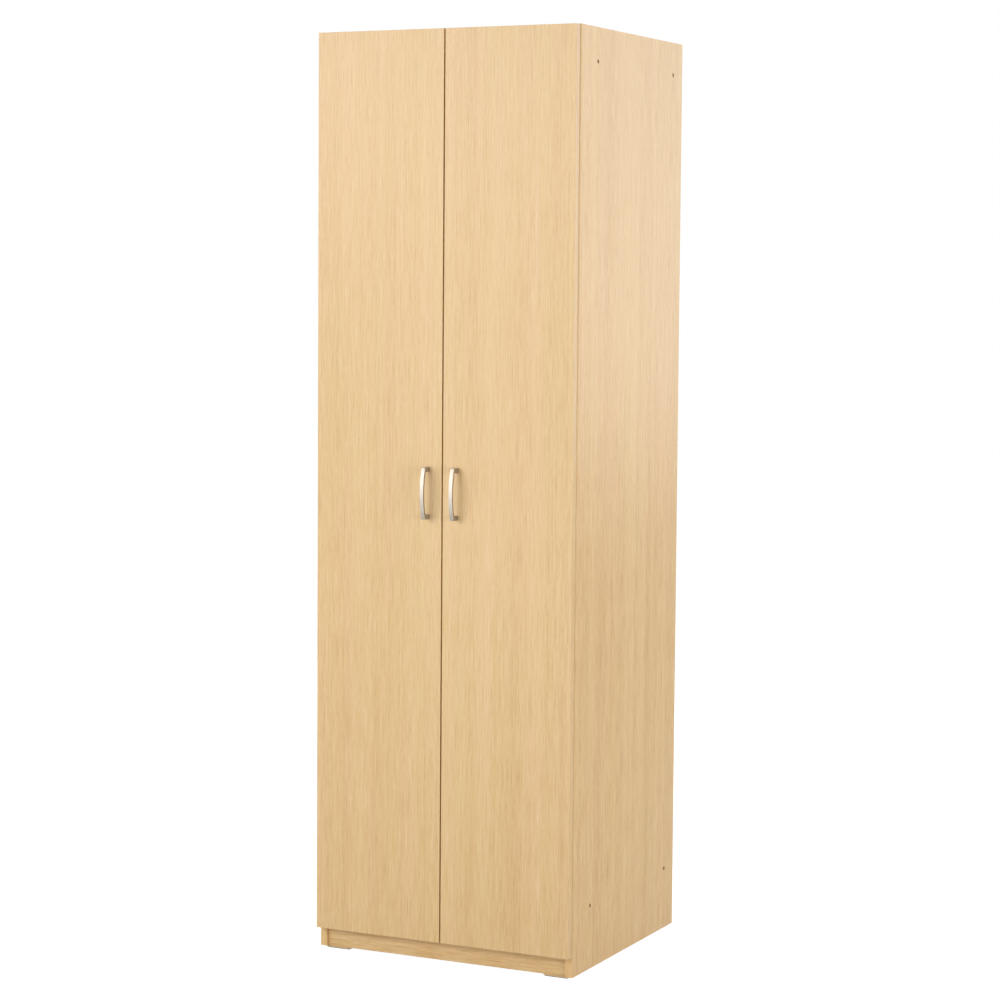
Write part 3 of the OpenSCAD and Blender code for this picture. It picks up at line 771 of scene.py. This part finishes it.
def carried(node: str, finish: Finish) -> Piece:
    """Gives a node of the frame its finish and keeps its shape.

    Args:
        node: The node's name.
        finish: Its finish.

    Returns:
        The node's object.
    """
    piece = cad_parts[node]
    piece.data.materials.clear()
    piece.data.materials.append(finish.material())
    return piece


class Assembly:
    """A sub-assembly, which builds and dresses its own pieces."""

    def build(self) -> list[Piece]:
        """Builds the pieces."""
        raise NotImplementedError


# Boards


@dataclass(frozen=True)
class Board:
    """A board cut from foiled sheet, with its arrises eased and its edges banded or left raw.

    Its shift says where in the print it was cut, in millimetres, and its edge bands were cut
    further on. Sawn edges face the raw directions. The soft direction points from its middle
    to a long edge that is soft-formed, and is zeros where there is none.
    """

    node: str
    grain: Grain
    shift: float
    body: str = "carcass"
    raw: tuple[Place, ...] = ()
    contrast: float = 0.95
    shades: Shades = MapleFoil.shades
    arris: float = 0.35 * MM
    soft: Place = (0, 0, 0)
    soft_round: float = 3.0 * MM
    soft_steps: int = 6
    band_shift: float = 40.0

    def build(self) -> Piece:
        """Cuts, eases and dresses the board."""
        mesh = node_mesh(self.node)
        low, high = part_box(self.node)
        rims = self.rims(mesh, low, high)
        nose = [e for e in rims if all(f.normal.dot(self.soft) > FACING for f in e.link_faces)]
        if nose:
            ease(mesh, nose, self.soft_round, self.soft_steps)
        ease(mesh, self.rims(mesh, low, high), self.arris)
        thin = min(range(3), key=lambda k: high[k] - low[k])
        shift = self.shift + self.band_shift
        bands = [MapleFoil(grain, shift, figure=0, shades=self.shades) for grain in Grain]
        face_print = MapleFoil(self.grain, self.shift, contrast=self.contrast, shades=self.shades)
        finishes = [face_print, *bands, PARTICLE_BOARD]
        for face in mesh.faces:
            facing_axis = max(range(3), key=lambda k: abs(face.normal[k]))
            if any(face.normal.dot(direction) > FACING for direction in self.raw):
                face.material_index = len(finishes) - 1
            elif facing_axis != thin:
                # An edge's band has its grain along the axis that is neither thin nor faced
                face.material_index = 1 + 3 - thin - facing_axis
        return shown(mesh, self.node, "foiled", self.body, finishes)

    @staticmethod
    def rims(mesh: Mesh, low: Vector, high: Vector) -> list[Edge]:
        """Finds the outer edges of the board, which lie on two faces of its box.

        Args:
            mesh: The board's mesh.
            low: Lowest corner of the box.
            high: Highest corner of the box.

        Returns:
            The edges.
        """
        rims = []
        for edge in mesh.edges:
            ends = [v.co for v in edge.verts]
            walls = ((k, corner[k]) for k in range(3) for corner in (low, high))
            if sum(all(abs(end[k] - wall) < 2 * WELD for end in ends) for k, wall in walls) >= 2:
                rims.append(edge)
        return rims


@dataclass
class Carcass(Assembly):
    """The boards that stand still: sides, top, bottom, shelf, plinths and back."""

    rear: Place = (0, 1, 0)
    under: Place = (0, 0, -1)
    side_contrast: float = 1.35
    # The sides' print is the doors' print retinted, a touch redder and less blue: painted light that
    # offsets how the light falls on the sides.
    side_shades_offsetting_light: Shades = ("#C6985D", "#DFBB84", "#EDD0A3")
    plinth_contrast: float = 1.5
    # The plinth's print is darker than the doors': partly its own print, partly painted shade from the
    # doors' overhang above it.
    plinth_print_and_shade: Shades = ("#BD8C52", "#D6B27B", "#E8CB9C")

    def build(self) -> list[Piece]:
        """Builds every board of the carcass."""
        side = {"raw": (self.rear, self.under), "contrast": self.side_contrast, "shades": self.side_shades_offsetting_light}
        plinth = {"raw": (self.under,), "contrast": self.plinth_contrast, "shades": self.plinth_print_and_shade}
        boards = [
            Board("left_side_panel", Grain.UPRIGHT, 310.0, soft=(-1, -1, 0), **side),
            Board("right_side_panel", Grain.UPRIGHT, 1730.0, soft=(1, -1, 0), **side),
            Board("top_panel", Grain.ALONG_X, 2500.0, raw=(self.rear,)),
            Board("bottom_panel", Grain.ALONG_X, 3300.0, raw=(self.rear,)),
            Board("hat_shelf", Grain.ALONG_X, 4100.0, raw=(self.rear,)),
            Board("plinth_board", Grain.ALONG_X, 5200.0, **plinth),
            Board("rear_plinth_board", Grain.ALONG_X, 6050.0, raw=(self.under,)),
        ]
        return [board.build() for board in boards] + [self.back()]

    def back(self) -> Piece:
        """Builds the back panel, foiled inside and bare behind."""
        mesh = node_mesh("back_panel")
        for face in mesh.faces:
            face.material_index = int(face.normal.y > -FACING)
        finishes = [MapleFoil(Grain.UPRIGHT, 7400.0), HARDBOARD]
        return shown(mesh, "back_panel", "pressed", "carcass", finishes)


# Fixings


@dataclass(frozen=True)
class CrossScrew:
    """A zinc-plated pan-head screw with a cross recess, its shank hidden in what it holds.

    Head and shank are radii and rise is the head's height. Recess is half the length of the
    cross, arm its width and depth its depth, which is at most depth_share of the rise. Brim is
    where the head's rim ends, as a share of the rise, and dome has the angles of the points
    over it. Each point of the tip has a share of the shank's radius, and a height.
    """

    head: float
    rise: float
    shank: float
    recess: float = 2.1 * MM
    arm: float = 0.9 * MM
    depth: float = 1.4 * MM
    depth_share: float = 0.75
    brim: float = 0.35
    dome: tuple[float, ...] = (0, 22, 45, 66)
    tip: Outline = ((0.45, 0.4 * MM), (1.0, 2.4 * MM))

    def blank(self, length: float) -> Mesh:
        """Turns one screw whose head stands on z = 0 and cuts its recess.

        Args:
            length: Length of the shank under the head.

        Returns:
            The screw's mesh.
        """
        profile = [(0.0, -length), *((self.shank * share, height - length) for share, height in self.tip)]
        profile += [(self.shank, 0.0), (self.head, 0.0)]
        for angle in map(math.radians, self.dome):
            height = self.rise * (self.brim + (1 - self.brim) * math.sin(angle))
            profile.append((self.head * math.cos(angle), height))
        mesh = bmesh.new()
        lathe(mesh, [*profile, (0.0, self.rise)], Matrix(), SCREW_STEPS)
        depth = min(self.rise * self.depth_share, self.depth)
        cross_cut(mesh, self.recess, self.arm, depth, self.rise, 0)
        return mesh

    def drive(self, node: str, body: str) -> Piece:
        """Puts one of these screws in place of each solid of a node.

        Args:
            node: The node that holds the screws.
            body: The body that they ride on.

        Returns:
            The piece.
        """
        solids = solids_of(node)
        blank = self.blank(max(solids[0].size) - self.rise)
        mesh = bmesh.new()
        for solid in solids:
            seat = solid.middle + solid.axis * (max(solid.size) / 2 - self.rise)
            append(mesh, blank.copy(), facing(solid.axis, seat))
        return shown(mesh, node, "driven", body, [ZINC_STEEL])


WOOD_SCREW = CrossScrew(3.5 * MM, 1.6 * MM, 1.75 * MM)


@dataclass
class Fixings(Assembly):
    """Dowels, cam bolts and cams that join the boards."""

    cam_radius: float = 7.5 * MM
    cam_chamfer: float = 0.5 * MM
    dish: float = 5.6 * MM
    dish_floor: float = 5.3 * MM
    dish_deep: float = 0.4 * MM
    slot_half: float = 4.5 * MM
    slot_width: float = 1.2 * MM
    slot_deep: float = 2.0 * MM

    def build(self) -> list[Piece]:
        """Builds the cams and dresses the fixings inside the boards."""
        return [self.cams(), carried("panel_dowels", BEECH), carried("cam_bolts", ZINC_STEEL)]

    def cams(self) -> Piece:
        """Builds the cams, whose slotted faces show in the boards."""
        mesh = bmesh.new()
        outer, chamfer, deep = self.cam_radius, self.cam_chamfer, self.dish_deep
        for solid in solids_of("cam_locks"):
            flat = min(range(3), key=lambda k: solid.size[k])
            axis = Vector((0.0, 0.0, -1.0))
            if flat == 1:
                axis = Vector((0.0, math.copysign(1.0, -solid.middle.y), 0.0))
            height = solid.size[flat]
            profile = [(0.0, -height), (outer, -height), (outer, -chamfer), (outer - chamfer, 0.0)]
            profile += [(self.dish, 0.0), (self.dish_floor, -deep), (0.0, -deep)]
            cam = bmesh.new()
            lathe(cam, profile, Matrix(), SMALL_STEPS)
            cross_cut(cam, self.slot_half, self.slot_width, self.slot_deep, 0.0, 45)
            append(mesh, cam, facing(axis, solid.middle + axis * height / 2))
        return shown(mesh, "cam_locks", "cast", "carcass", [CAST_ZINC])


@dataclass
class Inside(Assembly):
    """The hanger rail and the two sockets that carry it."""

    rail_wall: float = 1.0 * MM
    rail_round: float = 0.3 * MM
    collar_outer: float = 14.6 * MM
    collar_inner: float = 12.6 * MM
    collar_round: float = 0.4 * MM
    flange_rise: float = 3.0 * MM
    flange_round: float = 1.0 * MM
    fillet: float = 1.5 * MM

    def build(self) -> list[Piece]:
        """Builds the sockets' screws, the rail and its sockets."""
        return [WOOD_SCREW.drive("rail_socket_screws", "carcass"), self.rail(), self.sockets()]

    def rail(self) -> Piece:
        """Draws the rail as a tube with its cut ends eased."""
        (tube,) = solids_of("hanger_rail")
        outer, length, soft = tube.size.z / 2, tube.size.x, self.rail_round
        inner = outer - self.rail_wall
        profile = [(inner, 0.0), (outer - soft, 0.0), (outer, soft), (outer, length - soft)]
        profile += [(outer - soft, length), (inner, length)]
        start = Vector((tube.low.x, tube.middle.y, tube.middle.z))
        mesh = bmesh.new()
        lathe(mesh, profile, facing(Vector((1, 0, 0)), start), RAIL_STEPS)
        return shown(mesh, "hanger_rail", "drawn", "carcass", [CHROME])

    def sockets(self) -> Piece:
        """Casts the two sockets, each a flange with a collar."""
        outer, inner, edge = self.collar_outer, self.collar_inner, self.collar_round
        rise, soft, fillet = self.flange_rise, self.flange_round, self.fillet
        mesh = bmesh.new()
        for solid in solids_of("rail_sockets"):
            inward = -math.copysign(1.0, solid.middle.x)
            wall = Vector((solid.high.x if inward < 0 else solid.low.x, solid.middle.y, solid.middle.z))
            flange, collar = solid.size.z / 2, solid.size.x
            profile = [(0.0, 0.0), (flange, 0.0), (flange, rise - soft)]
            profile += [(flange - BULGE * soft, rise - BULGE * soft), (flange - soft, rise)]
            profile += [(outer + fillet, rise), (outer + BULGE * fillet, rise + BULGE * fillet)]
            profile += [(outer, rise + fillet), (outer, collar - edge), (outer - edge, collar)]
            profile += [(inner, collar), (inner, rise), (0.0, rise)]
            lathe(mesh, profile, facing(Vector((inward, 0, 0)), wall), RAIL_STEPS)
        return shown(mesh, "rail_sockets", "cast", "carcass", [NICKEL_ZINC])


@dataclass
class Feet(Assembly):
    """Four corner feet: a plastic pad with two upright walls, on a rubber sole whose dark grey also paints
    the shade under the foot.

    An outer edge is rounded from the crisp angle, in radians, and the shortest length on.
    """

    arris: float = 0.5 * MM
    crisp: float = 1.0
    shortest: float = 2.0 * MM

    def build(self) -> list[Piece]:
        """Builds the pads, the soles and their screws."""
        pieces = []
        for node, slot, finish in (
            ("corner_feet", "beige_plastic", BEIGE_PLASTIC),
            ("foot_soles", "grey_rubber", GREY_RUBBER_AND_SHADE),
        ):
            mesh = node_mesh(node)
            edges = [e for e in mesh.edges if e.calc_face_angle_signed(0) > self.crisp]
            ease(mesh, [e for e in edges if e.calc_length() > self.shortest], self.arris, 2)
            pieces.append(shown(mesh, node, "moulded", "carcass", [finish]))
        return [*pieces, WOOD_SCREW.drive("foot_screws", "carcass")]


# Hinges


@dataclass
class Hinges(Assembly):
    """The three concealed hinges of one door.

    An outer edge of a pressed part is rounded from the crisp angle, in radians, on.
    """

    side: Side
    press_round: float = 0.25 * MM
    crisp: float = 0.8
    cup_wall: float = 1.2 * MM
    cup_radius: float = 17.5 * MM
    cup_round: float = 1.2 * MM
    cup_bulge: float = 0.4 * MM
    lip: float = 0.8 * MM
    lip_thick: float = 0.4 * MM
    mouth_round: float = 0.5 * MM
    flange_rim: float = 1.0 * MM
    flange_thick: float = 0.8 * MM
    flange_arris: float = 0.2 * MM
    ear: float = 6.0 * MM
    ear_rounds: tuple[float, float] = (2.5 * MM, 4.5 * MM)
    screw_pitch: float = 45.0 * MM
    screw_in: float = 9.5 * MM
    bore_half: float = 3.0 * MM

    def build(self) -> list[Piece]:
        """Builds the plates, arms, links, cups, pins and screws."""
        side = self.side.prefix
        return [
            self.pressed("hinge_plates", "carcass"),
            self.pressed("hinge_arms", "carcass"),
            self.pressed("outer_links", side + "outer_links"),
            self.pressed("inner_links", side + "inner_links"),
            self.cups(),
            carried(side + "arm_pins", NICKEL_STEEL),
            carried(side + "cup_pins", NICKEL_STEEL),
            WOOD_SCREW.drive(side + "plate_screws", "carcass"),
            CrossScrew(3.5 * MM, 1.8 * MM, 2.0 * MM).drive(side + "arm_screws", "carcass"),
            WOOD_SCREW.drive(side + "cup_screws", self.side.door),
        ]

    def pressed(self, kind: str, body: str) -> Piece:
        """Gives a pressed part the rounded edges that its tool leaves.

        Args:
            kind: The node's name without its side.
            body: The body that it rides on.

        Returns:
            The piece.
        """
        node = self.side.prefix + kind
        mesh = node_mesh(node)
        crisp = [e for e in mesh.edges if e.calc_face_angle_signed(0) > self.crisp]
        ease(mesh, crisp, self.press_round, 2)
        return shown(mesh, node, "pressed", body, [NICKEL_STEEL])

    def cups(self) -> Piece:
        """Builds the cups, each a drawn bowl under a flange with two screw ears."""
        node = self.side.prefix + "hinge_cups"
        outer, wall, inner = self.cup_radius, self.cup_wall, self.cup_radius - self.cup_wall
        soft, bulge, lip, mouth = self.cup_round, self.cup_bulge, self.lip, self.mouth_round
        inward = -self.side.value
        mesh = bmesh.new()
        for solid in solids_of(node):
            edge = solid.low.x if inward > 0 else solid.high.x
            centre = Vector((edge + inward * (outer + self.flange_rim), solid.high.y, solid.middle.z))
            bottom, floor = -solid.size.y, wall - solid.size.y
            bowl = [(0.0, bottom), (outer - soft, bottom), (outer - bulge, bottom + bulge)]
            bowl += [(outer, bottom + soft), (outer, -self.lip_thick), (outer + lip, -self.lip_thick)]
            bowl += [(outer + lip, 0.0), (inner + mouth, 0.0), (inner, -mouth), (inner, floor + soft)]
            bowl += [(inner - bulge, floor + bulge), (inner - soft, floor), (0.0, floor)]
            lathe(mesh, bowl, facing(Vector((0, 1, 0)), centre), CUP_STEPS)
            self.flange(mesh, centre, inward)
        return shown(mesh, node, "drawn", self.side.door, [NICKEL_STEEL])

    def flange(self, mesh: Mesh, centre: Vector, inward: int) -> None:
        """Adds a cup's flange: a plate with two ears and a hole for the bowl.

        Args:
            mesh: The mesh to add to.
            centre: Middle of the cup, on the flange's outer face.
            inward: Sign of the direction from the door's edge to its middle.
        """
        near, far = (inward * (self.screw_in + way * self.ear) for way in (-1, 1))
        tall = self.screw_pitch / 2 + self.ear
        sharp, soft = self.ear_rounds
        corners = [(near, -tall, sharp), (far, -tall, soft), (far, tall, soft), (near, tall, sharp)]
        plate = bmesh.new()
        flat = Matrix.Translation(centre) @ Matrix.Rotation(math.radians(90), 4, "X")
        slab(plate, rounded(corners), self.flange_thick, flat, self.flange_arris)
        hole = bmesh.new()
        radius, half = self.cup_radius - self.cup_wall, self.bore_half
        bore = [(0.0, -half), (radius, -half), (radius, half), (0.0, half)]
        lathe(hole, bore, facing(Vector((0, 1, 0)), centre), CUP_STEPS)
        cut(plate, hole)
        append(mesh, plate, Matrix())


# Doors


@dataclass
class Door(Assembly):
    """One door with its bow handle, the handle's screws and two bumpers."""

    side: Side
    shift: float
    handle_bar: float = 5.0 * MM
    handle_foot: float = 9.0 * MM
    handle_rise: float = 8.0 * MM
    handle_arris: float = 0.5 * MM
    handle_sharp: float = 50
    heel_round: float = 1.6 * MM
    armpit_round: float = 2.2 * MM
    bow_steps: int = 28
    bumper_shape: Outline = (
        (0.0, 0.0), (4.0, 0.0), (4.0, 0.35), (3.8, 0.8), (3.2, 1.3), (2.2, 1.65), (1.1, 1.85), (0.0, 1.9)
    )

    def build(self) -> list[Piece]:
        """Builds the door and everything that is fixed to it."""
        board = Board(self.side.door, Grain.UPRIGHT, self.shift, body=self.side.door)
        handle_screw = CrossScrew(4.0 * MM, 2.2 * MM, 2.0 * MM, 2.4 * MM, 1.0 * MM)
        screws = handle_screw.drive(self.side.prefix + "handle_screws", self.side.door)
        return [board.build(), self.handle(), screws, self.bumpers()]

    def handle(self) -> Piece:
        """Casts the bow handle: a bar along an arc, with a foot at each end."""
        node = self.side.prefix + "handle"
        low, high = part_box(node)
        reach, half, bar = high.y - low.y, (high.z - low.z) / 2, self.handle_bar
        bow = (half**2 + self.handle_rise**2) / (2 * self.handle_rise)

        def arc(radius: float, end: float) -> list[Place]:
            """Points of the bow from one end height to the other, with no rounding."""
            heights = [end * (2 * k / self.bow_steps - 1) for k in range(1, self.bow_steps)]
            return [(reach - bow + math.sqrt(radius**2 - z**2), z, 0.0) for z in heights]

        shoulder = half - self.handle_foot
        armpit = reach - bow + math.sqrt((bow - bar) ** 2 - shoulder**2)
        tip, heel, pit = reach - self.handle_rise, self.heel_round, self.armpit_round
        corners = [(0.0, -half, 0.0), (tip, -half, heel), *arc(bow, half), (tip, half, heel)]
        corners += [(0.0, half, 0.0), (0.0, shoulder, 0.0), (armpit, shoulder, pit)]
        corners += [*reversed(arc(bow - bar, shoulder)), (armpit, -shoulder, pit), (0.0, -shoulder, 0.0)]
        # The outline's X runs off the door, its Y up, and the slab's thickness across the bar
        middle = (low.z + high.z) / 2
        place = Matrix(((0, 0, 1, low.x), (-1, 0, 0, high.y), (0, 1, 0, middle), (0, 0, 0, 1)))
        mesh = bmesh.new()
        slab(mesh, rounded(corners), high.x - low.x, place, self.handle_arris)
        return shown(mesh, node, "cast", self.side.door, [SATIN_NICKEL], self.handle_sharp)

    def bumpers(self) -> Piece:
        """Casts the clear drops that the door closes on."""
        node = self.side.prefix + "door_bumpers"
        mesh = bmesh.new()
        for solid in solids_of(node):
            seat = Vector((solid.middle.x, solid.low.y, solid.middle.z))
            profile = [(radius * MM, height * MM) for radius, height in self.bumper_shape]
            lathe(mesh, profile, facing(Vector((0, 1, 0)), seat), SMALL_STEPS)
        return shown(mesh, node, "cast", self.side.door, [CLEAR_BUMPER])


# Studio


@dataclass(frozen=True)
class SoftBox:
    """A lamp with a rectangular face."""

    name: str
    place: Place
    size: tuple[float, float]
    watts: float

    def hang(self, aim: Place) -> None:
        """Hangs the lamp, facing a point, where the camera doesn't see it.

        Args:
            aim: The point.
        """
        data = bpy.data.lights.new(self.name, "AREA")
        data.shape = "RECTANGLE"
        data.size, data.size_y = self.size
        data.energy = self.watts
        lamp = stand(self.name, data)
        lamp.matrix_world = facing(Vector(self.place) - Vector(aim), Vector(self.place))
        lamp.visible_camera = False


@dataclass
class Studio:
    """The camera, the lamps, the white surroundings and the floor.

    The camera stands round to the right by its azimuth and looks down by its pitch, both in
    degrees. Lens and sensor are in millimetres, and its shift is a share of the frame. The sky
    is the light from all round. The floor sends the lamps' light on by its grey to the camera
    and by its bounce to the wardrobe, and has a glow for mirrors and one for the camera.
    """

    boxes: ClassVar[tuple[SoftBox, ...]] = (
        SoftBox("key", (-1.83, -3.54, 2.1), (2.2, 1.4), 65),
        SoftBox("low_front", (-0.54, -3.96, 0.6), (2.0, 0.9), 29),
        SoftBox("low_left", (-2.99, -2.61, 0.6), (1.5, 0.9), 12),
        SoftBox("right_low", (3.56, -1.69, 0.9), (2.0, 1.3), 54),
        SoftBox("right_far", (3.89, -0.37, 1.9), (2.0, 1.3), 33),
        SoftBox("rear_right", (1.5, 2.8, 1.65), (1.6, 1.9), 18),
        SoftBox("rear_left", (-2.2, 3.4, 2.0), (2.2, 1.6), 65),
        SoftBox("overhead", (0.0, 0.7, 4.0), (1.0, 1.0), 30),
    )
    aim: Place = (0.0, 0.0, 1.0)
    place: Place = (2.3467, -4.7844, 1.3363)
    azimuth: float = 25.921
    pitch: float = 4.117
    roll: float = 0.436
    lens: float = 96.55
    sensor: float = 36.0
    shift: tuple[float, float] = (-0.0077, -0.0328)
    sky: float = 0.2
    floor_size: float = 30.0
    floor_drop: float = 0.2 * MM
    floor_grey: float = 0.3
    floor_glow: tuple[float, float] = (0.72, 0.96)
    floor_bounce: float = 0.5

    def build(self) -> None:
        """Sets up the whole studio."""
        bpy.context.scene.view_settings.view_transform = "Standard"
        self.camera()
        for box in self.boxes:
            box.hang(self.aim)
        self.surroundings()
        self.floor()

    def camera(self) -> None:
        """Puts the camera where the photograph was taken from."""
        data = bpy.data.cameras.new("camera")
        data.lens = self.lens
        data.sensor_width = self.sensor
        data.shift_x, data.shift_y = self.shift
        camera = stand("camera", data)
        turns = ((self.azimuth, "Z"), (90 - self.pitch, "X"), (self.roll, "Z"))
        turn, tip, tilt = (Matrix.Rotation(math.radians(angle), 4, axis) for angle, axis in turns)
        camera.matrix_world = Matrix.Translation(self.place) @ turn @ tip @ tilt
        bpy.context.scene.camera = camera

    @staticmethod
    def seen(tree: Tree) -> Node:
        """Adds 1 for rays from the camera and for those that metal or glass sends on, else 0."""
        path = add(tree, "LightPath").outputs
        total = path["Is Camera Ray"]
        for kind in ("Is Glossy Ray", "Is Transmission Ray"):
            total = add(tree, "Math", {0: total, 1: path[kind]}, operation="MAXIMUM")
        return total

    def surroundings(self) -> None:
        """Makes the world white to look at and a plain soft light to the wardrobe."""
        world = bpy.data.worlds.new("white_studio")
        tree = emptied(world)
        strength = add(tree, "MapRange", {"Value": self.seen(tree), "To Min": self.sky, "To Max": 1.0})
        white = add(tree, "Background", {"Color": (1, 1, 1, 1), "Strength": strength})
        add(tree, "OutputWorld", {"Surface": white})
        bpy.context.scene.world = world

    def floor(self) -> None:
        """Lays the floor: white where it is seen, with the wardrobe's soft shadow on it."""
        half = self.floor_size / 2
        mesh = bmesh.new()
        corners = [(-half, -half), (half, -half), (half, half), (-half, half)]
        mesh.faces.new([mesh.verts.new((x, y, -self.floor_drop)) for x, y in corners])
        floor = stand("studio_floor", baked(mesh, "studio_floor"))
        material = bpy.data.materials.new("white_floor")
        tree = emptied(material)
        grey, bounce = self.floor_grey, self.floor_bounce
        lit = add(tree, "BsdfDiffuse", {"Color": (grey, grey, grey, 1)})
        camera = add(tree, "LightPath").outputs["Is Camera Ray"]
        dim, bright = self.floor_glow
        strength = add(tree, "MapRange", {"Value": camera, "To Min": dim, "To Max": bright})
        glow = add(tree, "Emission", {"Color": (1, 1, 1, 1), "Strength": strength})
        white = add(tree, "AddShader", {0: lit, 1: glow})
        plain = add(tree, "BsdfDiffuse", {"Color": (bounce, bounce, bounce, 1)})
        mixed = add(tree, "MixShader", {0: self.seen(tree), 1: plain, 2: white})
        add(tree, "OutputMaterial", {"Surface": mixed})
        floor.data.materials.append(material)


def main() -> None:
    """Dresses the wardrobe, piece by piece, and lights it."""
    logging.basicConfig(level=logging.INFO, format="%(name)s: %(message)s")
    assemblies: list[Assembly] = [Carcass(), Fixings(), Inside(), Feet()]
    for side, shift in ((Side.LEFT, 8600.0), (Side.RIGHT, 9350.0)):
        assemblies += [Door(side, shift), Hinges(side)]
    for assembly in assemblies:
        for piece in assembly.build():
            LOG.info("%s: %d faces", piece.name, len(piece.data.polygons))
    Studio().build()


if __name__ == "__main__":
    main()
